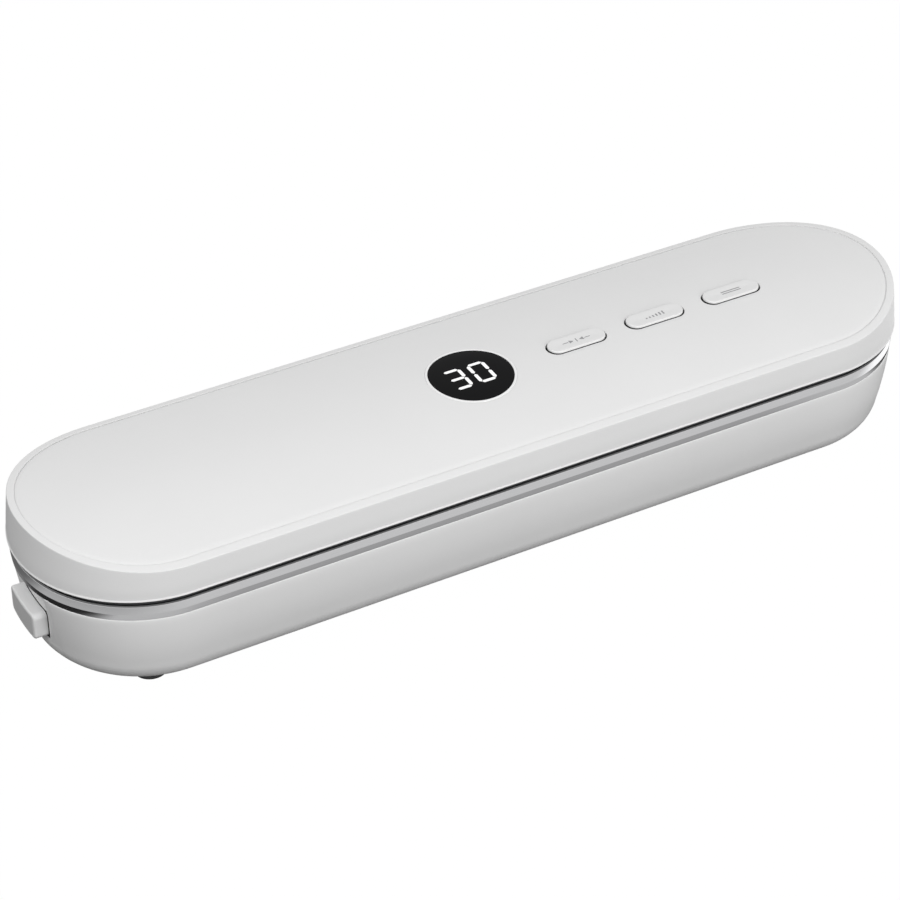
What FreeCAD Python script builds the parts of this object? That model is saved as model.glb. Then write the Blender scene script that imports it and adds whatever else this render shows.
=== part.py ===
import FreeCAD, Part
import math
import os
import Sketcher
from FreeCAD import Placement, Rotation, Vector

# A vacuum sealer for kitchen bags: a tub-shaped base and an arched lid with a shared stadium outline.
# X runs along the sealer, the front is at -Y, and Z = 0 is the surface that the feet stand on.

SIZES = {
    # Outline that the lid, the trim band and the base share
    "length": 380.0,
    "width": 98.0,
    # Base shell
    "base_height": 35.9,
    "base_inset": 1.0,
    "base_lean": 3.6,
    "base_round": 14.0,
    "base_wall": 3.0,
    # Rubber feet
    "foot_height": 2.2,
    "foot_radius": 5.0,
    "foot_seat": 0.7,
    "foot_stem_radius": 2.5,
    "foot_stem": 1.6,
    "foot_round": 0.8,
    "foot_end_inset": 38.0,
    "foot_side_inset": 22.0,
    # Trim band between the base shell and the lid
    "band_height": 6.9,
    "band_ridge": 2.9,
    "band_inset": 1.1,
    "band_bulge": 0.3,
    "band_lean": 0.9,
    "band_wall": 1.2,
    # Lid
    "seam_gap": 2.2,
    "lid_height": 11.9,
    "lid_lean": 1.2,
    "lid_wall": 2.2,
    "lid_skin": 1.8,
    "crown_rise": 6.1,
    "rim_width": 3.4,
    "rim_round": 0.8,
    "panel_thickness": 1.6,
    "panel_gap": 0.25,
    "panel_round": 1.2,
    # Display and buttons
    "control_y": -1.5,
    "display_radius": 16.8,
    "display_ring_width": 0.7,
    "display_ring_proud": 0.15,
    "button_length": 28.3,
    "button_width": 8.9,
    "button_first_x": 46.0,
    "button_pitch": 36.0,
    "button_proud": 1.0,
    "button_gap": 0.3,
    "button_depth": 1.3,
    "button_round": 0.5,
    "button_stem_radius": 2.4,
    "button_travel": 0.8,
    # Boards under the lid skin
    "board_thickness": 1.6,
    "board_depth": 26.0,
    "switch_size": 6.0,
    "switch_height": 3.4,
    "board_drop": 8.3,
    # Deck, trough and sealing line
    "deck_thickness": 2.6,
    "deck_skirt": 2.0,
    "trough_length": 290.0,
    "trough_width": 26.0,
    "trough_depth": 9.6,
    "trough_wall": 2.0,
    "trough_y": 6.0,
    "gasket_width": 5.0,
    "gasket_margin": 3.0,
    "gasket_groove": 1.4,
    "gasket_proud": 1.0,
    "heater_length": 312.0,
    "heater_width": 9.0,
    "heater_depth": 2.4,
    "heater_proud": 0.2,
    "heater_y": -25.0,
    "strip_length": 300.0,
    "strip_width": 3.2,
    "strip_thickness": 0.15,
    "tape_thickness": 0.15,
    "seal_clearance": 0.3,
    "fit_clearance": 0.05,
    # Lid liner
    "liner_rise": 1.4,
    "liner_thickness": 2.2,
    "liner_inset": 2.8,
    "lid_trough_depth": 4.6,
    # Hinge
    "hinge_x": 100.0,
    "hinge_radius": 2.2,
    "hinge_pin_radius": 1.0,
    "hinge_clearance": 0.4,
    "base_knuckle": 14.0,
    "lid_knuckle": 8.0,
    # Release latch
    "latch_width": 19.4,
    "latch_height": 10.6,
    "latch_corner": 2.4,
    "latch_round": 1.0,
    "latch_dish": 0.6,
    "latch_z": 22.0,
    "latch_gap": 0.35,
    "latch_travel": 3.0,
    "bezel_border": 3.2,
    "bezel_proud": 0.9,
    "bezel_depth": 6.0,
    "stem_width": 8.0,
    "stem_height": 8.0,
    "stem_y": 3.0,
    "flange_thickness": 2.0,
    "flange_border": 1.2,
    "hook_inset": 30.0,
    "hook_width": 12.0,
    "hook_thickness": 3.0,
    "hook_drop": 19.6,
    "hook_nose": 2.0,
    "hook_nose_height": 3.0,
    "bar_thickness": 2.0,
    "bar_height": 6.0,
    "bar_z": 34.0,
    "bar_y": -13.5,
    "spring_radius": 3.0,
    "spring_wire": 0.5,
    "spring_turns": 5.0,
    "spring_length": 12.0,
    # Screws
    "screw_radius": 1.5,
    "screw_head_radius": 2.9,
    "screw_head": 2.2,
    "boss_radius": 4.4,
    "boss_split_z": 30.0,
    "screw_bite": 8.0,
    "screw_seat": 7.8,
    "boss_front_inset": 50.0,
    "boss_front_side": 23.0,
    "boss_rear_x": 85.0,
    "boss_rear_side": 22.5,
    "liner_screw_x": 110.0,
    "liner_screw_side": 13.0,
    "liner_screw_head": 1.4,
    "liner_screw_length": 6.0,
    # Pump and air path
    "pump_x": -103.0,
    "pump_y": -20.5,
    "pump_head_length": 30.0,
    "pump_head_width": 22.0,
    "pump_head_height": 27.0,
    "motor_radius": 12.0,
    "motor_length": 46.0,
    "motor_axis_z": 20.0,
    "bracket_length": 26.0,
    "bracket_width": 22.0,
    "bracket_rise": 8.0,
    "hose_radius": 4.0,
    "hose_bore": 2.4,
    "hose_bend": 10.0,
    "nipple_length": 4.0,
    "port_flange_radius": 6.0,
    "port_flange": 1.0,
    "port_drop": 3.0,
    "valve_x": -45.0,
    "valve_y": 24.0,
    "valve_length": 22.0,
    "valve_width": 13.0,
    "valve_height": 16.0,
    # Power parts
    "power_x": 72.0,
    "power_y": -12.0,
    "power_length": 100.0,
    "power_width": 40.0,
    "power_stand": 4.0,
    "stand_radius": 3.0,
    "transformer_length": 36.0,
    "transformer_width": 30.0,
    "transformer_height": 20.0,
    "capacitor_radius": 5.0,
    "capacitor_height": 17.0,
    "relay_length": 18.0,
    "relay_width": 12.0,
    "relay_height": 14.0,
    "inlet_inset": 62.0,
    "inlet_z": 19.0,
    "inlet_length": 24.0,
    "inlet_height": 13.0,
    "inlet_depth": 18.0,
    "inlet_slot_length": 16.6,
    "inlet_slot_height": 7.8,
    "inlet_slot_depth": 13.5,
    "inlet_pin_pitch": 8.6,
    "inlet_pin_radius": 1.2,
    "inlet_pin_length": 11.0,
    # Lid sensing
    "sensor_x": 118.0,
    "sensor_inset": 12.0,
    "sensor_length": 9.0,
    "sensor_width": 5.0,
    "sensor_height": 3.0,
    "magnet_radius": 2.5,
    "magnet_height": 3.0,
}


class Size:
    """A length together with the spreadsheet expression that gives it."""

    def __init__(self, value, text):
        self.value = float(value)
        self.text = text

    @staticmethod
    def of(number):
        """Wrap a plain number, and leave a Size as it is."""
        if isinstance(number, Size):
            return number
        return Size(number, "(%.6f)" % number)

    def __float__(self):
        return self.value

    def __add__(self, other):
        other = Size.of(other)
        return Size(self.value + other.value, "(%s + %s)" % (self.text, other.text))

    def __radd__(self, other):
        return Size.of(other) + self

    def __sub__(self, other):
        other = Size.of(other)
        return Size(self.value - other.value, "(%s - %s)" % (self.text, other.text))

    def __rsub__(self, other):
        return Size.of(other) - self

    def __mul__(self, other):
        other = Size.of(other)
        return Size(self.value * other.value, "(%s * %s)" % (self.text, other.text))

    def __rmul__(self, other):
        return Size.of(other) * self

    def __truediv__(self, other):
        other = Size.of(other)
        return Size(self.value / other.value, "(%s / %s)" % (self.text, other.text))

    def __neg__(self):
        return Size(-self.value, "(-1 * %s)" % self.text)


def slope(rise, run):
    """Angle in degrees whose tangent is rise over run."""
    ratio = rise / run
    return Size(math.degrees(math.atan(ratio.value)), "atan(%s)" % ratio.text)


doc = FreeCAD.newDocument("VacuumSealer")
sheet = doc.addObject("Spreadsheet::Sheet", "Sizes")
for row, (alias, value) in enumerate(SIZES.items(), start=1):
    cell = "B%d" % row
    sheet.set("A%d" % row, alias)
    sheet.set(cell, str(value))
    sheet.setAlias(cell, alias)
doc.recompute()

S = {alias: Size(value, "Sizes." + alias) for alias, value in SIZES.items()}
nodes = []


def bind(obj, **places):
    """Tie properties of an object to expressions; a double underscore stands for a dot."""
    for name, size in places.items():
        obj.setExpression(name.replace("__", "."), Size.of(size).text)


def move_to(obj, x=0.0, y=0.0, z=0.0):
    """Tie an object's place to expressions."""
    bind(obj, Placement__Base__x=x, Placement__Base__y=y, Placement__Base__z=z)


def keep(obj, label):
    """Name a finished sub-part and put it on the list of those that are written."""
    obj.Label = label
    nodes.append(obj)
    return obj


def box(length, width, height, x, y, z):
    """Box centred on x and y, standing on z."""
    block = doc.addObject("Part::Box", "Block")
    bind(block, Length=length, Width=width, Height=height)
    move_to(block, x - length / 2.0, y - width / 2.0, z)
    return block


TURNS = {"X": Rotation(Vector(0, 1, 0), 90), "Y": Rotation(Vector(1, 0, 0), -90), "Z": Rotation()}


def rod(radius, length, x, y, z, axis="Z"):
    """Cylinder that starts at x, y, z and runs along +axis."""
    cylinder = doc.addObject("Part::Cylinder", "Rod")
    bind(cylinder, Radius=radius, Height=length)
    cylinder.Placement = Placement(Vector(), TURNS[axis])
    move_to(cylinder, x, y, z)
    return cylinder


def cut(base, *tools):
    """Base with the tools taken away."""
    tool = tools[0] if len(tools) == 1 else fuse(*tools)
    result = doc.addObject("Part::Cut", "Cut")
    result.Base = base
    result.Tool = tool
    return result


def fuse(*shapes):
    """Shapes joined into one."""
    result = doc.addObject("Part::MultiFuse", "Fuse")
    result.Shapes = list(shapes)
    return result


def common(first, second):
    """Volume that two shapes share."""
    result = doc.addObject("Part::Common", "Common")
    result.Base = first
    result.Tool = second
    return result


def outline_sketch(body, name, length, width, y, z):
    """Stadium outline with its long axis along X, drawn at height z of its body."""
    sketch = body.newObject("Sketcher::SketchObject", name)
    plane = [item for item in body.Origin.OriginFeatures if item.Role == "XY_Plane"][0]
    sketch.AttachmentSupport = [(plane, "")]
    sketch.MapMode = "FlatFace"
    bind(sketch, AttachmentOffset__Base__y=y, AttachmentOffset__Base__z=z)
    radius = float(width) / 2
    half = float(length) / 2 - radius
    up = Vector(0, 0, 1)
    right = Part.Circle(Vector(half, 0, 0), up, radius)
    left = Part.Circle(Vector(-half, 0, 0), up, radius)
    sketch.addGeometry(Part.LineSegment(Vector(-half, radius, 0), Vector(half, radius, 0)))
    sketch.addGeometry(Part.ArcOfCircle(right, -math.pi / 2, math.pi / 2))
    sketch.addGeometry(Part.LineSegment(Vector(half, -radius, 0), Vector(-half, -radius, 0)))
    sketch.addGeometry(Part.ArcOfCircle(left, math.pi / 2, 3 * math.pi / 2))
    start, end, centre = 1, 2, 3
    joints = ((0, end, 1, end), (2, start, 1, start), (2, end, 3, end), (0, start, 3, start))
    for line, line_end, arc, arc_end in joints:
        sketch.addConstraint(Sketcher.Constraint("Tangent", line, line_end, arc, arc_end))
    origin, x_axis = -1, -1
    sketch.addConstraint(Sketcher.Constraint("Symmetric", 1, centre, 3, centre, origin, start))
    sketch.addConstraint(Sketcher.Constraint("PointOnObject", 1, centre, x_axis))
    sketch.addConstraint(Sketcher.Constraint("Equal", 1, 3))
    sketch.addConstraint(Sketcher.Constraint("Radius", 1, radius))
    sketch.renameConstraint(sketch.ConstraintCount - 1, "end_radius")
    sketch.addConstraint(Sketcher.Constraint("DistanceX", 3, centre, 1, centre, 2 * half))
    sketch.renameConstraint(sketch.ConstraintCount - 1, "centre_span")
    bind(sketch, Constraints__end_radius=Size.of(width) / 2.0)
    bind(sketch, Constraints__centre_span=Size.of(length) - Size.of(width))
    return sketch


def pad_outline(body, name, length, width, z, height, y=0.0, lean=None, down=False):
    """Pad of a stadium outline; lean is how much each side draws in over the height."""
    sketch = outline_sketch(body, name + "Outline", length, width, y, z)
    pad = body.newObject("PartDesign::Pad", name)
    pad.Profile = sketch
    pad.Reversed = down
    bind(pad, Length=height)
    if lean is not None:
        bind(pad, TaperAngle=-slope(Size.of(lean), Size.of(height)))
    return pad


def slab(length, width, z, height, y=0.0, lean=None):
    """Body with one stadium pad."""
    body = doc.addObject("PartDesign::Body", "Slab")
    pad_outline(body, "SlabPad", length, width, z, height, y, lean)
    return body


def inset_slab(inset, z, height, lean=None):
    """Stadium slab whose outline lies inset inside the sealer's own."""
    return slab(S["length"] - 2.0 * inset, S["width"] - 2.0 * inset, z, height, 0.0, lean)


# Places counted from the ends and the sides
half_length = S["length"] / 2.0
half_width = S["width"] / 2.0
hook_x = half_length - S["hook_inset"]
inlet_x = half_length - S["inlet_inset"]
foot_x = half_length - S["foot_end_inset"]
foot_y = half_width - S["foot_side_inset"]
sensor_y = S["sensor_inset"] - half_width

# Heights of the stacked pieces
z_base = S["foot_height"]
z_floor = z_base + S["base_wall"]
z_rim = z_base + S["base_height"]
z_band = z_rim + S["band_height"]
z_seam = z_band + S["seam_gap"]
z_wall = z_seam + S["lid_height"]
z_crown = z_wall + S["crown_rise"]
z_deck = z_band - S["deck_thickness"]
z_liner = z_seam + S["liner_rise"]
z_liner_top = z_liner + S["liner_thickness"]

# The lid's top is part of a cylinder along X that meets the lid wall at the rim
half_rim = S["width"] / 2.0 - S["lid_lean"]
crown_radius = (half_rim * half_rim + S["crown_rise"] * S["crown_rise"]) / (2.0 * S["crown_rise"])
crown_axis_z = z_crown - crown_radius
overlap = S["lid_wall"]
crown_length = S["length"] + 2.0 * overlap


def crown(offset):
    """Cylinder under the lid's arched top, offset from it along its radius."""
    return rod(crown_radius + offset, crown_length, -crown_length / 2.0, 0.0, crown_axis_z, "X")


def rounded(base, radius, wanted):
    """Shape with a fillet on every edge that the test picks."""
    doc.recompute()
    result = doc.addObject("Part::Fillet", "Rounded")
    result.Base = base
    size = float(radius)
    result.Edges = [(i, size, size) for i, edge in enumerate(base.Shape.Edges, start=1) if wanted(edge)]
    return result


def on_crown(offset):
    """Test for edges that lie on the arched top, offset along its radius."""
    radius = float(crown_radius) + float(offset)
    axis_z = float(crown_axis_z)

    def test(edge):
        points = edge.discretize(5)
        return all(abs(math.hypot(point.y, point.z - axis_z) - radius) < 1e-3 for point in points)

    return test


def between_crowns(prism, low, high):
    """Part of an upright prism between two surfaces that follow the arched top."""
    return common(cut(prism, crown(low)), crown(high))


def base_inset_at(z):
    """Inset of the base shell's outside at height z, above its rolled edge."""
    return S["base_inset"] + S["base_lean"] * (z_rim - z) / S["base_height"]


# Hinge line, in the seam at the rear edge
hinge_y = S["width"] / 2.0 - S["hinge_radius"]
hinge_z = z_band + S["seam_gap"] / 2.0
hinge_sides = (-1.0, 1.0)
knuckle_room = S["hinge_radius"] + S["hinge_clearance"]
hinge_span = S["base_knuckle"] + 2.0 * S["lid_knuckle"] + 4.0 * S["hinge_clearance"]


def hinge_rod(radius, length, centre_x):
    """Cylinder on the hinge line, centred on centre_x."""
    return rod(radius, length, centre_x - length / 2.0, hinge_y, hinge_z, "X")


def hinge_wells():
    """Round wells that leave room for all the knuckles of both hinges."""
    return [hinge_rod(knuckle_room, hinge_span, side * S["hinge_x"]) for side in hinge_sides]


def pin_bores():
    """Bores for the two hinge pins."""
    radius = S["hinge_pin_radius"] + S["fit_clearance"]
    return [hinge_rod(radius, hinge_span, side * S["hinge_x"]) for side in hinge_sides]


def screw_places():
    """X and Y of the four screws that hold base shell and deck together."""
    front_x = half_length - S["boss_front_inset"]
    front = [(side * front_x, S["boss_front_side"] - half_width) for side in hinge_sides]
    rear = [(side * S["boss_rear_x"], half_width - S["boss_rear_side"]) for side in hinge_sides]
    return front + rear


def foot_places():
    """Name, X and Y of the four feet."""
    rows = (("front", -1.0), ("rear", 1.0))
    columns = (("left", -1.0), ("right", 1.0))
    pairs = [(row, column) for row in rows for column in columns]
    return [(row[0] + "_" + column[0], column[1] * foot_x, row[1] * foot_y) for row, column in pairs]


def bottom_edges(shape, z):
    """Names of the edges that lie at height z."""
    level = float(z)
    names = []
    for index, edge in enumerate(shape.Edges, start=1):
        if abs(edge.BoundBox.ZMax - level) < 1e-4:
            names.append("Edge%d" % index)
    return names


# Release latch: places that the shell, the bezel and the button share
latch_face_x = -half_length
bezel_width = S["latch_width"] + 2.0 * (S["latch_gap"] + S["bezel_border"])
bezel_height = S["latch_height"] + 2.0 * (S["latch_gap"] + S["bezel_border"])
shell_end_x = latch_face_x + base_inset_at(S["latch_z"])
bezel_back_x = shell_end_x + S["bezel_depth"]
flange_x = bezel_back_x + S["latch_gap"]
stem_start_x = flange_x + S["flange_thickness"]
tongue_x = S["hook_thickness"] / 2.0 + S["hook_nose"] + 2.0 * S["fit_clearance"] + S["seal_clearance"]
hook_places = (("left", -hook_x), ("right", hook_x))
hook_bottom = z_liner - S["hook_drop"]
spring_y = -(S["latch_width"] / 2.0 - S["spring_radius"] - S["spring_wire"])
spring_seat_x = stem_start_x + S["spring_length"]


def rolled_tub(name, inset, height, lean, roll_radius):
    """Solid that hangs from the rim, with a leaning wall and a rolled lower edge."""
    body = doc.addObject("PartDesign::Body", name)
    pad = pad_outline(body, name + "Pad", S["length"] - 2.0 * inset, S["width"] - 2.0 * inset, z_rim,
                      height, lean=lean, down=True)
    doc.recompute()
    roll = body.newObject("PartDesign::Fillet", name + "Roll")
    roll.Base = (pad, bottom_edges(pad.Shape, z_rim - height))
    bind(roll, Radius=roll_radius)
    body.Tip = roll
    return body


def base_shell():
    """Tub with a leaning wall, a rolled lower edge, an open top, screw bosses and board stands."""
    wall = S["base_wall"]
    depth = S["base_height"] - wall
    tub = rolled_tub("BaseOutside", S["base_inset"], S["base_height"], S["base_lean"], S["base_round"])
    inner_lean = S["base_lean"] * depth / S["base_height"]
    hollow = rolled_tub("BaseInside", S["base_inset"] + wall, depth, inner_lean, S["base_round"] - wall)
    half_wall = S["base_wall"] / 2.0
    boss_low = z_base + half_wall
    bosses = [rod(S["boss_radius"], S["boss_split_z"] - boss_low, x, y, boss_low) for x, y in screw_places()]
    stands = [rod(S["stand_radius"], S["power_stand"] + half_wall, x, y, boss_low) for x, y in stand_places()]
    seat_height = S["latch_z"] + S["spring_radius"] + S["base_wall"] - boss_low
    seat_width = 2.0 * (S["spring_radius"] + S["spring_wire"])
    spring_seat = box(S["base_wall"], seat_width, seat_height, spring_seat_x + half_wall, spring_y, boss_low)
    solid = fuse(cut(tub, hollow), spring_seat, *(bosses + stands))
    holes = []
    seat = S["screw_seat"] + S["screw_head"]
    for x, y in screw_places():
        holes.append(rod(S["screw_head_radius"] + S["latch_gap"], seat, x, y, 0.0))
        holes.append(rod(S["screw_radius"] + S["fit_clearance"], S["boss_split_z"], x, y, 0.0))
    for _, x, y in foot_places():
        holes.append(rod(S["foot_radius"] + S["fit_clearance"], z_base + S["foot_seat"], x, y, 0.0))
        stem_top = z_base + S["foot_seat"] + S["foot_stem"]
        holes.append(rod(S["foot_stem_radius"] + S["fit_clearance"], stem_top, x, y, 0.0))
    window_x = latch_face_x + S["bezel_depth"]
    holes.append(box(2.0 * S["bezel_depth"], bezel_width, bezel_height, window_x,
                     0.0, S["latch_z"] - bezel_height / 2.0))
    holes.append(box(S["inlet_length"], 2.0 * S["inlet_depth"], S["inlet_height"], inlet_x,
                     S["width"] / 2.0, S["inlet_z"] - S["inlet_height"] / 2.0))
    return cut(solid, *holes)


def trim_band():
    """Ring with a ridge: its lower part leans out, its upper part leans in."""
    body = doc.addObject("PartDesign::Body", "BandBody")
    low = S["band_inset"]
    ridge = low - S["band_bulge"]
    upper = S["band_height"] - S["band_ridge"]
    pad_outline(body, "BandFoot", S["length"] - 2.0 * low, S["width"] - 2.0 * low, z_rim, S["band_ridge"],
                lean=-S["band_bulge"])
    pad_outline(body, "BandTop", S["length"] - 2.0 * ridge, S["width"] - 2.0 * ridge, z_rim + S["band_ridge"],
                upper, lean=S["band_lean"])
    bore = inset_slab(band_inner(), z_rim, S["band_height"])
    return cut(body, bore, *hinge_wells())


def band_inner():
    """Inset of the band's inner face."""
    return S["band_inset"] - S["band_bulge"] + S["band_lean"] + S["band_wall"]


def deck_slot(extra, z, height):
    """Slab with the trough's outline, grown by extra on every side."""
    return slab(S["trough_length"] + 2.0 * extra, S["trough_width"] + 2.0 * extra, z, height, S["trough_y"])


def gasket_ring(z, height, gap):
    """Ring round the trough, narrower than its groove by gap on each side."""
    inner = S["gasket_margin"] + gap
    outer = S["gasket_margin"] + S["gasket_width"] - gap
    return cut(deck_slot(outer, z, height), deck_slot(inner, z, height))


def heater_slab(gap, z, height):
    """Slab on the sealing line, narrower than its groove by gap on each side."""
    return slab(S["heater_length"] - 2.0 * gap, S["heater_width"] - 2.0 * gap, z, height, S["heater_y"])


def base_deck():
    """Deck with a skirt, the vacuum trough, grooves for gasket and heater, hook slots and hinge knuckles."""
    outer = band_inner() + S["fit_clearance"]
    plate = inset_slab(outer, z_rim, S["band_height"])
    under = inset_slab(outer + S["deck_skirt"], z_rim, z_deck - z_rim)
    trough_low = z_band - S["trough_depth"]
    tub = deck_slot(S["trough_wall"], trough_low - S["trough_wall"], z_deck - trough_low + S["trough_wall"])
    bosses = []
    cuts = [deck_slot(0.0, trough_low, S["trough_depth"])]
    cuts.append(gasket_ring(z_band - S["gasket_groove"], S["gasket_groove"], 0.0))
    cuts.append(heater_slab(0.0, z_band - S["heater_depth"], S["heater_depth"]))
    for x, y in screw_places():
        bosses.append(rod(S["boss_radius"], z_deck - S["boss_split_z"], x, y, S["boss_split_z"]))
        bite = S["screw_bite"] + S["fit_clearance"]
        cuts.append(rod(S["screw_radius"] + S["fit_clearance"], bite, x, y, S["boss_split_z"]))
    slot_length = S["hook_thickness"] + S["hook_nose"] + 6.0 * S["hinge_clearance"]
    slot_width = S["hook_width"] + 2.0 * S["hook_thickness"]
    for _, x in hook_places:
        cuts.append(box(slot_length, slot_width, S["deck_thickness"], x + S["hook_nose"] / 2.0,
                        -S["hook_thickness"] / 2.0, z_deck))
    port_x = S["pump_x"]
    cuts.append(rod(S["hose_radius"] + S["fit_clearance"], S["trough_wall"], port_x, S["trough_y"],
                    trough_low - S["trough_wall"]))
    knuckles = []
    for side in hinge_sides:
        centre = side * S["hinge_x"]
        knuckles.append(hinge_rod(S["hinge_radius"], S["base_knuckle"], centre))
        arm_end = S["width"] / 2.0 - outer
        arm = arm_end - hinge_y + 2.0 * S["hinge_radius"]
        knuckles.append(box(S["base_knuckle"], arm, hinge_z - z_deck, centre, arm_end - arm / 2.0, z_deck))
    carved = cut(fuse(cut(plate, under), tub, *bosses), *(cuts + hinge_wells()))
    return cut(fuse(carved, *knuckles), *pin_bores())


def stand_places():
    """X and Y of the stands under the power board."""
    dx = S["power_length"] / 2.0 - S["stand_radius"]
    dy = S["power_width"] / 2.0 - S["stand_radius"]
    return [(S["power_x"] + i * dx, S["power_y"] + j * dy) for i in hinge_sides for j in hinge_sides]


def lid_shell():
    """Lid skirt and skin: arched outside, recess for the panel, cavity, bosses and hinge knuckles."""
    tall = S["lid_height"] + S["crown_rise"]
    tall_lean = S["lid_lean"] * tall / S["lid_height"]
    raw = common(inset_slab(Size.of(0.0), z_seam, tall, tall_lean), crown(0.0))
    outside = rounded(raw, S["rim_round"], on_crown(0.0))
    ceiling = crown(-(S["panel_thickness"] + S["lid_skin"]))
    inside = common(inset_slab(S["lid_wall"], z_seam, tall, tall_lean), ceiling)
    recess = cut(inset_slab(S["lid_lean"] + S["rim_width"], z_seam, tall), crown(-S["panel_thickness"]))
    room = z_crown - z_liner_top
    bosses = [rod(S["boss_radius"], room, x, y, z_liner_top) for x, y in liner_screw_places()]
    room = z_crown - z_board_top
    bosses += [rod(S["stand_radius"], room, x, y, z_board_top) for x, y in board_boss_places()]
    posts = common(fuse(*bosses), crown(-(S["panel_thickness"] + S["lid_skin"] / 2.0)))
    knuckles = []
    wells = []
    for side in hinge_sides:
        centre = side * S["hinge_x"]
        reach = S["base_knuckle"] / 2.0 + S["hinge_clearance"] + S["lid_knuckle"] / 2.0
        ends = [centre + end * reach for end in hinge_sides]
        knuckles += [hinge_rod(S["hinge_radius"], S["lid_knuckle"], x) for x in ends]
        wells.append(hinge_rod(knuckle_room, S["base_knuckle"] + 2.0 * S["hinge_clearance"], centre))
    holes = [rod(S["display_radius"] - S["lid_wall"], tall, 0.0, S["control_y"], z_seam)]
    for x in button_places():
        holes.append(rod(S["button_stem_radius"] + S["button_gap"], tall, x, S["control_y"], z_seam))
    for x, y in liner_screw_places():
        holes.append(rod(S["screw_radius"] + S["fit_clearance"], S["liner_screw_length"], x, y, z_liner_top))
    return cut(fuse(cut(outside, inside, recess), posts, *knuckles), *(holes + wells + pin_bores()))


def button_places():
    """X of the three push buttons."""
    return [S["button_first_x"] + float(i) * S["button_pitch"] for i in range(3)]


def liner_screw_places():
    """X and Y of the screws that hold the lid liner."""
    y = half_width - S["liner_screw_side"]
    return [(i * S["liner_screw_x"], j * y) for i in hinge_sides for j in hinge_sides]


z_board_top = z_crown - S["board_drop"]
board_left = -(S["display_radius"] + S["stand_radius"])
board_right = S["button_first_x"] + 2.0 * S["button_pitch"] + S["button_length"] / 2.0
board_length = board_right - board_left
board_x = (board_right + board_left) / 2.0


def board_boss_places():
    """X and Y of the posts that hold the control board."""
    dy = S["board_depth"] / 2.0 - S["stand_radius"]
    ends = (board_left + S["stand_radius"], board_right - S["stand_radius"])
    return [(x, S["control_y"] + j * dy) for x in ends for j in hinge_sides]


def control_pill(extra, z, height, x):
    """Pill-shaped prism with a button's outline, grown by extra."""
    pill = slab(S["button_length"] + 2.0 * extra, S["button_width"] + 2.0 * extra, z, height)
    move_to(pill, x, S["control_y"], 0.0)
    return pill


def top_panel():
    """Inset arched panel with the holes for display and buttons."""
    inset = S["lid_lean"] + S["rim_width"] + S["panel_gap"]
    tall = S["lid_height"] + S["crown_rise"]
    raw = between_crowns(inset_slab(inset, z_seam, tall), -S["panel_thickness"], Size.of(0.0))
    skin = rounded(raw, S["panel_round"], on_crown(0.0))
    ring_radius = S["display_radius"] + S["display_ring_width"]
    holes = [rod(ring_radius + S["fit_clearance"], tall, 0.0, S["control_y"], z_seam)]
    holes += [control_pill(S["button_gap"], z_seam, tall, x) for x in button_places()]
    return cut(skin, *holes)


def push_button(x):
    """Pill cap that follows the arched top and stands proud of it, with a stem under it."""
    high = S["lid_height"] + S["crown_rise"] + 2.0 * S["button_proud"]
    prism = control_pill(Size.of(0.0), z_seam, high, x)
    cap = rounded(common(prism, crown(S["button_proud"])), S["button_round"], on_crown(S["button_proud"]))
    low = z_crown + S["button_proud"] - S["button_depth"]
    shaved = cut(cap, box(S["length"], S["width"], low - z_seam, 0.0, 0.0, z_seam))
    stem_low = z_board_top + S["switch_height"] + S["button_travel"] + S["button_gap"]
    stem = rod(S["button_stem_radius"], low - stem_low, x, S["control_y"], stem_low)
    return fuse(shaved, stem)


def display_lens():
    """Round window that follows the arched top."""
    prism = rod(S["display_radius"], z_crown - z_seam, 0.0, S["control_y"], z_seam)
    return between_crowns(prism, -S["panel_thickness"], Size.of(0.0))


def display_ring():
    """Thin ring round the window."""
    tall = z_crown - z_seam + S["button_proud"]
    outer = rod(S["display_radius"] + S["display_ring_width"], tall, 0.0, S["control_y"], z_seam)
    inner = rod(S["display_radius"] + S["fit_clearance"], tall, 0.0, S["control_y"], z_seam)
    return between_crowns(cut(outer, inner), -S["panel_thickness"], S["display_ring_proud"])


def lid_liner():
    """Underside plate with a dome over the trough and grooves for the gasket and the pressure strip."""
    plate = inset_slab(S["liner_inset"], z_liner, S["liner_thickness"])
    dome = deck_slot(S["trough_wall"], z_liner, S["lid_trough_depth"] + S["trough_wall"])
    cuts = [deck_slot(0.0, z_liner, S["lid_trough_depth"])]
    cuts.append(gasket_ring(z_liner, S["gasket_groove"], 0.0))
    cuts.append(heater_slab(0.0, z_liner, S["gasket_groove"]))
    for x, y in liner_screw_places():
        cuts.append(rod(S["screw_radius"] + S["fit_clearance"], S["liner_thickness"], x, y, z_liner))
        cuts.append(rod(S["screw_head_radius"] + S["fit_clearance"], S["liner_screw_head"], x, y, z_liner))
    return cut(fuse(plate, dome), *cuts)


def latch_hook(x):
    """Hook plate that hangs from the liner, with a nose at its lower end."""
    plate = box(S["hook_thickness"], S["hook_width"], S["hook_drop"], x, 0.0, hook_bottom)
    nose_x = x + S["hook_thickness"] / 2.0 + S["hook_nose"] / 2.0
    nose = box(S["hook_nose"], S["hook_width"], S["hook_nose_height"], nose_x, 0.0, hook_bottom)
    pad_width = S["hook_width"] + S["hook_thickness"]
    pad = box(S["hook_thickness"] * 3.0, pad_width, S["liner_rise"], x, 0.0, z_seam)
    return fuse(plate, nose, pad)


def rounded_block(length, width, height, corner, x, z):
    """Block along X with rounded corners in its end view, centred on z."""
    block = box(length, width, height, x, 0.0, z - height / 2.0)
    return rounded(block, corner, lambda edge: edge.BoundBox.XLength > float(length) / 2)


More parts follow.
